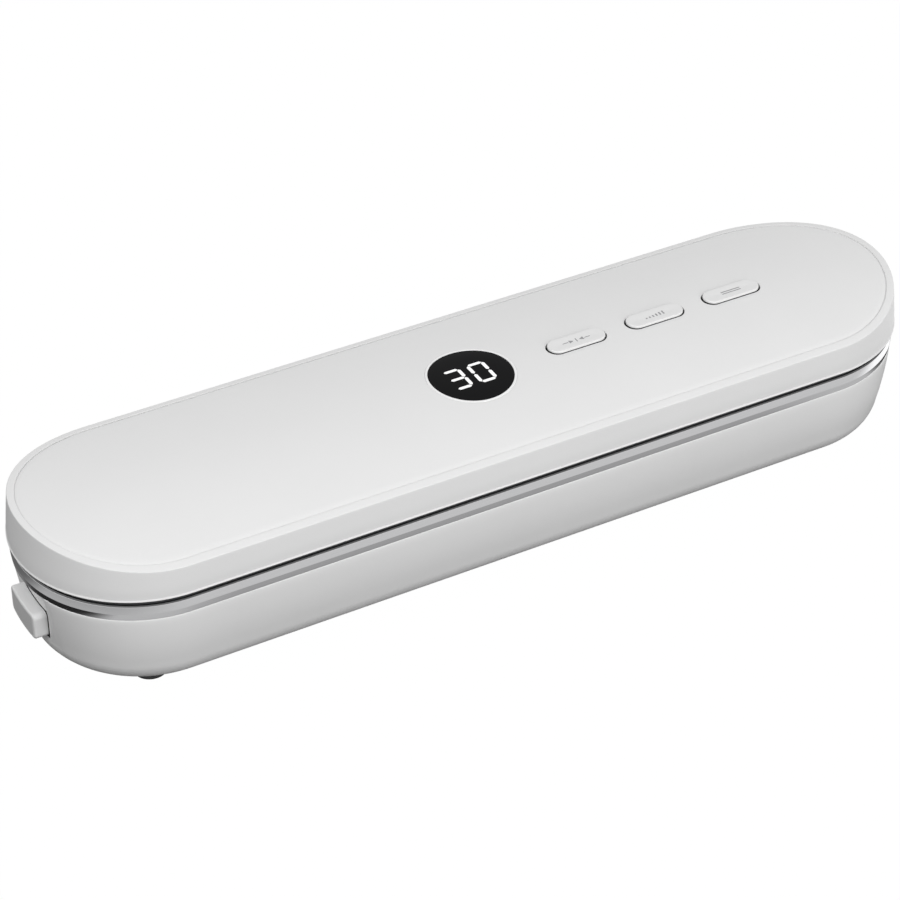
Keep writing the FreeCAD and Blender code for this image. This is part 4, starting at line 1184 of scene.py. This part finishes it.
@dataclass
class Base:
    """Base shell, trim band, feet and the parts inside the base."""

    form: Form
    shop: Workshop
    bottom_z: float = 2.2
    top_inset: float = 1.0
    lean: float = 3.6
    roll: float = 14.0
    wall: float = 3.0
    bulge: float = 0.7
    end_tuck: float = 1.5
    lip: float = 0.45
    lip_width: float = 1.6
    floor_insets: tuple[float, ...] = (40.0, 28.0, 20.0)
    inlet_x: tuple[float, float] = (116.0, 140.0)
    inlet_z: tuple[float, float] = (12.5, 25.5)
    latch_window_z: tuple[float, float] = (10.9, 38.2)
    latch_window_y: float = 16.5
    latch_window_x: float = 20.0
    rear_y: float = 30.0
    hinge_x: float = 100.0
    hinge_half: float = 16.2
    hinge_floor: float = 43.5
    hinge_step: float = 0.3
    ledge_drop: float = 1.0
    # Rows of inset and rise: the band above the rim and at its ledge, and the two strips that cover the seam: a grey
    # ledge, then a black strip of painted shade under the lid.
    band_front: Profile = ((2.9, 0.0), (1.35, 0.0), (1.15, 0.12), (1.09, 0.35), (0.84, 2.6), (0.80, 2.85), (0.83, 3.1))
    band_ledge: Profile = ((1.24, -0.3), (1.30, -0.06), (1.36, 0.0), (2.9, 0.0))
    seam_cover: Profile = ((1.34, 0.02), (1.5, 0.06), (2.2, 0.08), (2.94, 0.1))
    foot_radius: float = 6.8
    foot_shift: float = 1.0
    foot_roll: float = 0.9
    foot_top: float = 2.8
    foot_hollow: Profile = ((0.0, 0.35), (2.6, 0.3), (3.0, 0.12), (3.3, 0.0))
    foot_places: tuple[tuple[str, float, float], ...] = (
        ("foot_front_left", -152.0, -27.0), ("foot_front_right", 152.0, -27.0),
        ("foot_rear_left", -152.0, 27.0), ("foot_rear_right", 152.0, 27.0))
    screw_places: Profile = ((-140.0, -26.0), (140.0, -26.0), (-85.0, 26.5), (85.0, 26.5))
    well_foot: float = 0.6
    boss_foot: float = 1.5
    well_radius: float = 3.25
    well_top: float = 10.0
    drill_top: float = 8.0
    screw_hole: float = 1.6
    boss_radius: float = 4.4
    boss_top: float = 29.9

    def build(self) -> None:
        """Make every piece of the base."""
        self.shell()
        self.band()
        self.feet()
        self.inside()

    @property
    def slope(self) -> float:
        """Inset gained for each millimetre down the wall."""
        return self.lean / (self.form.rim_z - self.bottom_z)

    def wall_inset(self, z: Array) -> Array:
        """Inset of the leaning wall's line at a height."""
        return self.top_inset + self.slope * (self.form.rim_z - np.asarray(z, dtype=float))

    @property
    def roll_centre(self) -> tuple[float, float]:
        """Inset and height of the centre of the rolled lower edge."""
        z = self.bottom_z + self.roll
        return float(self.wall_inset(z)) + self.roll * math.hypot(1.0, self.slope), z

    def outside_inset(self, z: Array) -> Array:
        """Inset of the outside at a height: the wall's line with a shallow arch, and below it the roll's circle.

        Args:
            z: Heights.

        Returns:
            Insets from the outline's full size.
        """
        inset, centre = self.roll_centre
        level = np.asarray(z, dtype=float)
        tangent = centre - self.roll * self.slope / math.hypot(1.0, self.slope)
        fall = np.clip(centre - level, 0.0, self.roll)
        share = np.clip((self.form.rim_z - level) / (self.form.rim_z - tangent), 0.0, 1.0)
        wall = self.wall_inset(level) - 4.0 * self.bulge * share * (1.0 - share)
        return np.where(level > tangent, wall, inset - np.sqrt(self.roll ** 2 - fall ** 2))

    def tuck(self, points: Array) -> Array:
        """Points of the outside, drawn in along X towards both ends by an arch between the rim and the floor.

        Args:
            points: Points before the move.

        Returns:
            Points after it.
        """
        x, rim_z = points[..., 0], self.form.rim_z
        share = np.clip((rim_z - points[..., 2]) / rim_z, 0.0, 1.0)
        end = np.clip((np.abs(x) - self.form.half_span) / self.form.radius, 0.0, 1.0)
        moved = points.copy()
        moved[..., 0] = x - np.sign(x) * 4.0 * self.end_tuck * share * (1.0 - share) * end ** 2
        return moved

    def shell(self) -> None:
        """Base shell: floor, rolled edge, leaning wall and a softened lip, carried round the stadium."""
        form = self.form
        track = form.plain_track(self.inlet_x)
        arc_z = self.roll_centre[1] - self.roll * np.sin(np.linspace(math.pi / 2, math.atan(self.slope), 16))
        stops = (*self.inlet_z, self.latch_window_z[0])
        wall_z = np.concatenate([np.linspace(arc_z[-1], form.rim_z - self.lip, 12), stops])
        levels = np.unique(np.round(np.concatenate([arc_z, wall_z]), 3))
        rows = [stack(track.at(form.radius - inset), self.bottom_z) for inset in (form.radius, *self.floor_insets)]
        rows += [stack(track.at(form.radius - float(self.outside_inset(z))), z) for z in levels]
        edge = form.radius - float(self.outside_inset(form.rim_z - self.lip))
        for turn in QUARTER:
            plane = track.at(edge - self.lip * (1 - math.cos(turn)))
            rows.append(stack(plane, form.rim_z - self.lip * (1 - math.sin(turn))))
        rows.append(stack(track.at(edge - self.lip_width), form.rim_z))
        patch = Patch.grid(self.tuck(np.stack(rows)), close_columns=True)
        x, y, z = patch.centres().T
        low, high = self.latch_window_z
        latch = (x < -form.half_span - self.latch_window_x) & (np.abs(y) < self.latch_window_y) & (z > low) & (z < high)
        (left, right), (low, high) = self.inlet_x, self.inlet_z
        inlet = (y > self.rear_y) & (x > left) & (x < right) & (z > low) & (z < high)
        shell = self.shop.piece("base_skin", [patch.without(latch | inlet)], Body.BASE, Finishes.SHELL, "shell_white",
                                ("base_shell",), wall=self.wall)
        self.drill(shell)
        well = ((self.well_radius, self.bottom_z + self.well_foot), (self.well_radius, self.well_top),
                (self.screw_hole, self.well_top), (self.screw_hole, self.boss_top),
                (self.boss_radius, self.boss_top), (self.boss_radius, self.bottom_z + self.boss_foot))
        sleeves = [lathe(well, px, py) for px, py in self.screw_places]
        self.shop.piece("base_screw_wells", sleeves, Body.BASE, Finishes.SHELL, "shell_white")

    def drill(self, shell: bpy.types.Object) -> None:
        """Open the screw wells in the floor of the shell.

        Args:
            shell: Shell piece; its wall and its wells become part of its mesh.
        """
        radius, top = self.well_radius, self.drill_top
        pin = ((0.0, 0.0), (radius, 0.0), (radius, top), (0.0, top))
        mesh = Patch.joined([lathe(pin, x, y) for x, y in self.screw_places]).to_mesh("well_cutter")
        self.shop.clean(mesh, COPY_SHARP)
        cutter = linked("well_cutter", mesh)
        tool = shell.modifiers.new("wells", "BOOLEAN")
        tool.object = cutter
        tool.solver = "EXACT"
        view = bpy.context.evaluated_depsgraph_get()
        view.update()
        solid = bpy.data.meshes.new_from_object(shell.evaluated_get(view))
        shell.modifiers.clear()
        shell.data = solid
        solid.set_sharp_from_angle(angle=math.radians(SHARP))
        bpy.data.objects.remove(cutter)

    def band(self) -> None:
        """Trim band: two facets that meet in a ridge, carried round the stadium, low where the hinges are."""
        form, half, step = self.form, self.hinge_half, self.hinge_step
        reaches = (-half - step, -half, half, half + step)
        track = form.plain_track([hinge + reach for hinge in (-self.hinge_x, self.hinge_x) for reach in reaches])
        near = np.abs(np.abs(track.core[:, 0]) - self.hinge_x)
        lowered = (track.normal[:, 1] > 0.99) & (near < half + 0.01)
        ceiling = np.where(lowered, self.hinge_floor, form.band_z)

        def rows(profile: Sequence[tuple[float, float]], level: float) -> list[Array]:
            """Rows of inset and rise above a level, kept under the hinge wells."""
            return [stack(track.at(form.radius - inset), np.minimum(level + rise, ceiling)) for inset, rise in profile]

        low, ledge = form.rim_z, form.band_z - self.ledge_drop
        cover = rows(self.seam_cover, ledge)
        # Painted shade in the seam under the lid: a grey strip at the ledge and a black strip behind it.
        self.shop.piece("seam_strip", [Patch.rings(cover[:3])], Body.BASE, Finishes.LEDGE, "deck_grey")
        self.shop.piece("seam_shade", [Patch.rings(cover[2:])], Body.BASE, Finishes.PAINTED_SHADE, "inner_black")
        loop = rows(self.band_front, low) + rows(self.band_ledge, ledge) + rows(self.band_front[:1], low)
        self.shop.piece("trim_band_skin", [Patch.rings(loop)], Body.BASE, Finishes.CHROME, "trim_chrome",
                        ("trim_band",), sharp=12.0)

    def feet(self) -> None:
        """Rubber feet: discs with a rolled edge and a shallow hollow under them."""
        edge, roll = self.foot_radius, self.foot_roll
        turns = np.linspace(0, math.pi / 2, 7)
        rolled = [(edge - roll * (1 - math.sin(turn)), roll * (1 - math.cos(turn))) for turn in turns]
        profile = [*self.foot_hollow, *rolled, (edge, self.foot_top), (0.0, self.foot_top)]
        for node, x, y in self.foot_places:
            pad = lathe(profile, x, y + math.copysign(self.foot_shift, y))
            self.shop.piece(node + "_pad", [pad], Body.BASE, Finishes.FOOT, "foot_rubber", (node,))

    def inside(self) -> None:
        """Deck, seals, heater, hinge pins, inlet and the closed-in pump and power parts."""
        smooth = {"base_deck": Finishes.DECK, "lower_gasket": Finishes.GASKET, "heater_bar": Finishes.CARRIER,
                  "suction_port": Finishes.NATURAL, "hinge_pin_left": Finishes.STEEL, "inlet_pins": Finishes.BRASS,
                  "hinge_pin_right": Finishes.STEEL, "power_inlet": Finishes.BLACK, "base_screws": Finishes.STEEL}
        plain = {"heating_strip": Finishes.RIBBON, "heat_tape": Finishes.TAPE, "latch_spring": Finishes.STEEL,
                 "pump_head": Finishes.NATURAL, "pump_motor": Finishes.MOTOR, "pump_bracket": Finishes.BLACK,
                 "vacuum_hose": Finishes.HOSE, "vent_valve": Finishes.BLACK, "power_board": Finishes.BOARD,
                 "power_transformer": Finishes.MOTOR, "filter_capacitors": Finishes.BLACK,
                 "heater_relay": Finishes.BLACK, "lid_sensor": Finishes.BLACK}
        self.shop.fit_out(Body.BASE, smooth, plain)


@dataclass
class Latch:
    """Release latch on the left end: the button, a black sheet of painted shade in the gap round it, and the pocketed
    bezel round it.
    """

    form: Form
    base: Base
    shop: Workshop
    half_width: float = 11.2
    half_height: float = 5.7
    middle_z: float = 21.7
    corner: float = 2.2
    face_x: float = -190.0
    back_x: float = -182.6
    roll: float = 0.9
    curve: float = 95.0
    gap: float = 0.5
    proud: float = 0.06
    floor_x: float = -184.6
    pocket_half: float = 12.0
    pocket_low: float = 10.6
    pocket_high: float = 38.05
    step: float = 4.8
    side_step: float = 4.2
    flange: float = 1.9
    face_rings: tuple[float, ...] = (0.93, 0.75, 0.5, 0.25, 0.0)
    # Outward reach of the sheet of painted shade round the button, and its two shifts along X from the pocket's floor.
    gap_shade_out: float = 0.08
    gap_shade_reach: tuple[float, float] = (1.6, -0.2)
    brow_depth: float = 0.6

    def build(self) -> None:
        """Make the button and the bezel, and give the bar behind them its finish."""
        rim, face = self.cap()
        self.shop.piece("latch_cap", [rim], Body.LATCH, Finishes.BUTTON, "button_white", ("latch_button",))
        # The face wears a darker copy of the white: painted shade.
        self.shop.piece("latch_shaded_face", [face], Body.LATCH, Finishes.SHADED_FACE, "button_white")
        # A black sheet of painted shade in the gap round the button.
        self.shop.piece("latch_gap_shade", [self.gap_shade()], Body.LATCH, Finishes.PAINTED_SHADE, "inner_black")
        self.shop.piece("latch_surround", [self.bezel()], Body.BASE, Finishes.SHELL, "shell_white", ("latch_bezel",))
        self.shop.dress_node("release_bar", Finishes.NATURAL)

    def track(self) -> Track:
        """Rounded rectangle of the button's end view."""
        return Track.rounded_box(self.half_width - self.corner, self.half_height - self.corner, 12, 12)

    def bow(self, y: Array) -> Array:
        """Fall of the bowed face and of the pocket's floor along X, at places across Y."""
        return np.square(y) / (2 * self.curve)

    def points(self, plane: Array, x: Union[float, Array]) -> Array:
        """Points of an end view at places along X."""
        along = np.broadcast_to(np.asarray(x, dtype=float), plane.shape[:1])
        return np.stack([along, plane[:, 0], plane[:, 1] + self.middle_z], axis=-1)

    def cap(self) -> tuple[Patch, Patch]:
        """Button: a rounded rectangle carried along X, rolled over at a face that is bowed across Y.

        Returns:
            The sides with the rolled edge, and the middle of the face.
        """
        track = self.track()
        side, rim = track.at(self.corner), track.at(self.corner - self.roll)
        back, edge = self.back_x + self.bow(side[:, 0]), self.face_x + self.bow(rim[:, 0])
        rows = [self.points(side * 0.0, self.back_x), self.points(side, back)]
        for share in (0.5, 1.0):
            rows.append(self.points(side, back + share * (edge + self.roll - back)))
        for turn in np.radians(np.linspace(15, 90, 7)):
            plane = track.at(self.corner - self.roll * (1 - math.cos(turn)))
            rows.append(self.points(plane, edge + self.roll * (1 - math.sin(turn))))
        planes = [rim * share for share in self.face_rings]
        inner = [self.points(plane, self.face_x + self.bow(plane[:, 0])) for plane in planes]
        return Patch.rings(rows + inner[:1]), Patch.rings(inner)

    def shell_x(self, plane: Array) -> Array:
        """Place of the shell's outside along X.

        Args:
            plane: Points of the end view.

        Returns:
            A place for each point.
        """
        reach = self.form.radius - self.base.outside_inset(plane[:, 1] + self.middle_z)
        x = -self.form.half_span - np.sqrt(np.maximum(reach * reach - plane[:, 0] ** 2, 0.0))
        return self.base.tuck(self.points(plane, x))[:, 0]

    def gap_shade(self) -> Patch:
        """Black sheet of painted shade round the button, in the gap where it goes into the pocket's floor.

        Returns:
            The sheet of painted shade.
        """
        plane = self.track().at(self.corner + self.gap_shade_out)
        floor = self.floor_x + self.bow(plane[:, 0])
        return Patch.rings([self.points(plane, floor + shift) for shift in self.gap_shade_reach])

    def bezel(self) -> Patch:
        """Bezel: a sheet over the shell that steps in to a bowed floor round the button.

        Its place along X is the shell's outside, blended to the floor by smooth steps across Y and Z.

        Returns:
            The sheet, open where the button stands.
        """
        hole_y, hole_z = self.half_width + self.gap, self.half_height + self.gap
        step, side, reach, low = self.step, self.side_step, self.pocket_half, self.pocket_low
        half = np.concatenate([np.linspace(0, hole_y, 7), np.linspace(hole_y, reach, 3)[1:],
                               reach + np.linspace(0, side, 9)[1:], [reach + side + self.flange]])
        y = np.concatenate([-half[:0:-1], half])
        z = np.concatenate([[low - self.flange], low + np.linspace(0, step, 9),
                            self.middle_z + np.linspace(-hole_z, hole_z, 9),
                            np.linspace(self.middle_z + hole_z, self.pocket_high, 7)[1:]])
        z_grid, y_grid = np.meshgrid(z, y, indexing="ij")
        plane = np.stack([y_grid.ravel(), z_grid.ravel() - self.middle_z], axis=-1)
        outside = self.shell_x(plane).reshape(y_grid.shape) - self.proud
        blend = eased((reach + side - np.abs(y_grid)) / side) * eased((z_grid - low) / step)
        x = outside + blend * np.maximum(self.floor_x + self.bow(y_grid) - outside, 0.0)
        sheet = np.stack([x, y_grid, z_grid], axis=-1)
        brow = np.stack([outside[-1] + self.brow_depth, y, np.full(len(y), self.pocket_high)], axis=-1)
        patch = Patch.grid(np.concatenate([sheet, brow[None]])[:, ::-1])
        middle = patch.centres()
        hole = (np.abs(middle[:, 1]) < hole_y) & (np.abs(middle[:, 2] - self.middle_z) < hole_z)
        return patch.without(hole)


@dataclass(frozen=True)
class Lamp:
    """Soft square lamp: its place and edge length in millimetres, and its power in watts."""

    name: str
    place: tuple[float, float, float]
    size: float
    power: float


@dataclass
class Studio:
    """Floor, light and camera."""

    form: Form
    focal: float = 115.81
    pitch: float = 36.6
    azimuth: float = -28.902
    distance: float = 1125.491
    shift_right: float = -8.363
    shift_up: float = -15.213
    sky: float = 0.68
    sky_dim: float = 0.4
    floor_white: float = 0.10
    # Painted shades and a painted bright patch that the floor shows to glossy rays only, so that the bright band
    # mirrors them.
    mirror_near: float = 0.40
    mirror_far: float = 0.66
    mirror_end: float = 0.55
    mirror_left: float = 0.42
    mirror_behind: float = 0.14
    mirror_bright: float = 1.2
    mirror_dark: float = 0.02
    # Where the floor's painted mirror shade changes, in metres: from the sealer's core line, along X and along Y.
    close_reach: tuple[float, float] = (0.052, 0.070)
    away_reach: tuple[float, float] = (0.083, 0.10)
    left_end: tuple[float, float] = (-0.15, -0.10)
    right_end: tuple[float, float] = (0.12, 0.17)
    left_tip: tuple[float, float] = (-0.207, -0.188)
    right_tip: tuple[float, float] = (0.195, 0.215)
    left_fade: tuple[float, float] = (-0.33, -0.09)
    bright_x: tuple[float, float] = (0.20, 0.23)
    bright_y: tuple[float, float] = (-0.12, -0.06)
    behind_x: tuple[float, float] = (-0.19, -0.15)
    behind_y: tuple[float, float] = (0.01, 0.06)
    # Where the sky is dimmer, as parts of a ray to the left and upwards.
    dim_left: tuple[float, float] = (0.1, 0.8)
    dim_up: tuple[float, float] = (0.05, 0.6)
    floor_half: float = 4000.0
    floor_glow: float = 1.06
    floor_seen: float = 0.94
    lamps: tuple[Lamp, ...] = (
        Lamp("overhead", (200.0, -150.0, 900.0), 900.0, 0.05),
        Lamp("front", (190.0, -1100.0, 420.0), 800.0, 5.9),
        Lamp("left", (-800.0, -320.0, 850.0), 700.0, 3.2))

    def build(self) -> None:
        """Set up the whole studio."""
        scene = bpy.context.scene
        scene.view_settings.view_transform = "Standard"
        self.camera(scene)
        self.world(scene)
        self.floor()
        for lamp in self.lamps:
            self.light(lamp)

    @staticmethod
    def pose(item: bpy.types.Object, right: Array, back: Array, place: Array) -> None:
        """Turn and place an object.

        Args:
            item: Camera or lamp.
            right: Direction of its X.
            back: Direction of its Z.
            place: Where it stands, in millimetres.
        """
        matrix = np.eye(4)
        matrix[:3] = np.stack([right, np.cross(back, right), back, place * MM], axis=1)
        item.matrix_world = Matrix(matrix.tolist())

    def camera(self, scene: bpy.types.Scene) -> None:
        """Camera at the photograph's viewing angle.

        Args:
            scene: Scene that looks through it.
        """
        a, p = math.radians(self.azimuth), math.radians(self.pitch)
        right = np.array([math.cos(a), math.sin(a), 0.0])
        back = np.array([math.sin(a) * math.cos(p), -math.cos(a) * math.cos(p), math.sin(p)])
        up = np.cross(back, right)
        place = self.shift_right * right + self.shift_up * up + self.distance * back + [0.0, 0.0, self.form.seam_z]
        data = bpy.data.cameras.new("camera")
        data.lens, data.sensor_width, data.sensor_fit = self.focal, 36.0, "HORIZONTAL"
        data.clip_end = 20.0
        scene.camera = linked("camera", data)
        self.pose(scene.camera, right, back, place)

    def world(self, scene: bpy.types.Scene) -> None:
        """Even sky for the light, dimmer low on the left, and white for what looks at it or mirrors it.

        Args:
            scene: Scene that it surrounds.
        """
        world = bpy.data.worlds.new("studio_sky")
        scene.world = world
        graph = Graph(world)
        path = graph.node("ShaderNodeLightPath")
        seen = (path["Is Camera Ray"] + path["Is Glossy Ray"] + path["Is Transmission Ray"]).at_most(1.0)
        ray = graph.node("ShaderNodeSeparateXYZ", None, {"Vector": graph.node("ShaderNodeTexCoord")["Generated"]})
        low_left = (ray["X"] * -1.0).ramp(*self.dim_left) * (1.0 - ray["Z"].ramp(*self.dim_up))
        light = self.sky * (1.0 - low_left * self.sky_dim)
        strength = seen + (1.0 - seen) * light
        back = graph.node("ShaderNodeBackground", None, {"Color": grey(1.0), "Strength": strength})
        graph.node("ShaderNodeOutputWorld", None, {"Surface": back["Background"]})

    def floor(self) -> None:
        """Floor that reads white to the camera, keeps a soft contact shadow, and shows painted shade and a painted
        bright patch to glossy rays.
        """
        half = self.floor_half
        corners = np.array([[[-half, -half, 0.0], [half, -half, 0.0]], [[-half, half, 0.0], [half, half, 0.0]]])
        floor = linked("studio_floor", Patch.grid(corners).to_mesh("studio_floor"))
        material = bpy.data.materials.new("floor_white")
        graph = Graph(material)
        path = graph.node("ShaderNodeLightPath")
        glossy = path["Is Glossy Ray"]
        # Glossy rays see the painted mirror shade in place of plain white.
        color = graph.mix_color(glossy, grey(1.0), self.painted_mirror_shade(graph))
        diffuse = graph.node("ShaderNodeBsdfDiffuse", None, {"Color": grey(self.floor_white)})
        white = graph.node("ShaderNodeEmission", None, {"Color": color, "Strength": self.floor_glow})
        share = path["Is Camera Ray"] * self.floor_seen + glossy
        mixed = graph.node("ShaderNodeMixShader", None, {0: share, 1: diffuse["BSDF"], 2: white["Emission"]})
        under = graph.node("ShaderNodeNewGeometry")["Backfacing"]
        clear = graph.node("ShaderNodeBsdfTransparent")
        sided = graph.node("ShaderNodeMixShader", None, {0: under, 1: mixed["Shader"], 2: clear["BSDF"]})
        graph.node("ShaderNodeOutputMaterial", None, {"Surface": sided["Shader"]})
        floor.data.materials.append(material)

    def painted_mirror_shade(self, graph: Graph) -> Sock:
        """Painted shade of the floor as the bright band mirrors it: darker close to the base, at its tips, far to the
        left and behind it, with a painted bright patch beyond the right end.

        Args:
            graph: Tree of the floor's material.

        Returns:
            The colour.
        """
        _, x, y = graph.object_axes()
        beyond = (abs(x) - self.form.half_span * MM).at_least(0.0)
        reach = (beyond * beyond + y * y).root()
        ends = (1.0 - x.ramp(*self.left_end)).at_least(x.ramp(*self.right_end))
        tips = (1.0 - x.ramp(*self.left_tip)).at_least(x.ramp(*self.right_tip))
        near = graph.mix_color(ends, grey(self.mirror_near), grey(self.mirror_end))
        near = graph.mix_color(tips, near, grey(self.mirror_dark))
        far = graph.mix_color(x.ramp(*self.left_fade), grey(self.mirror_left), grey(self.mirror_far))
        far = graph.mix_color(x.ramp(*self.bright_x) * y.ramp(*self.bright_y), far, grey(self.mirror_bright))
        shade = graph.mix_color(reach.ramp(*self.away_reach), near, far)
        behind = y.ramp(*self.behind_y) * (1.0 - x.ramp(*self.behind_x))
        shade = graph.mix_color(behind, shade, grey(self.mirror_behind))
        return graph.mix_color(reach.ramp(*self.close_reach), grey(self.mirror_dark), shade)

    def light(self, lamp: Lamp) -> None:
        """Hang a lamp, aimed at the sealer and not seen in mirrors.

        Args:
            lamp: Lamp to hang.
        """
        data = bpy.data.lights.new(lamp.name, "AREA")
        data.shape, data.size, data.energy = "SQUARE", lamp.size * MM, lamp.power
        item = linked(lamp.name, data)
        item.visible_glossy = False
        place = np.array(lamp.place)
        back = place - [0.0, 0.0, self.form.band_z]
        back = back / np.linalg.norm(back)
        right = np.cross([0.0, 1.0, 0.0] if abs(back[2]) > 0.9 else [0.0, 0.0, 1.0], back)
        self.pose(item, right / np.linalg.norm(right), back, place)


def main() -> None:
    """Build the sealer, then the studio."""
    logging.basicConfig(level=logging.INFO, format="%(name)s: %(message)s")
    form, shop = Form(), Workshop()
    base = Base(form, shop)
    base.build()
    Lid(form, shop).build()
    Buttons(form, shop).build()
    Latch(form, base, shop).build()
    Studio(form).build()
    LOG.info("%d pieces", len(shop.made))


if __name__ == "__main__":
    main()
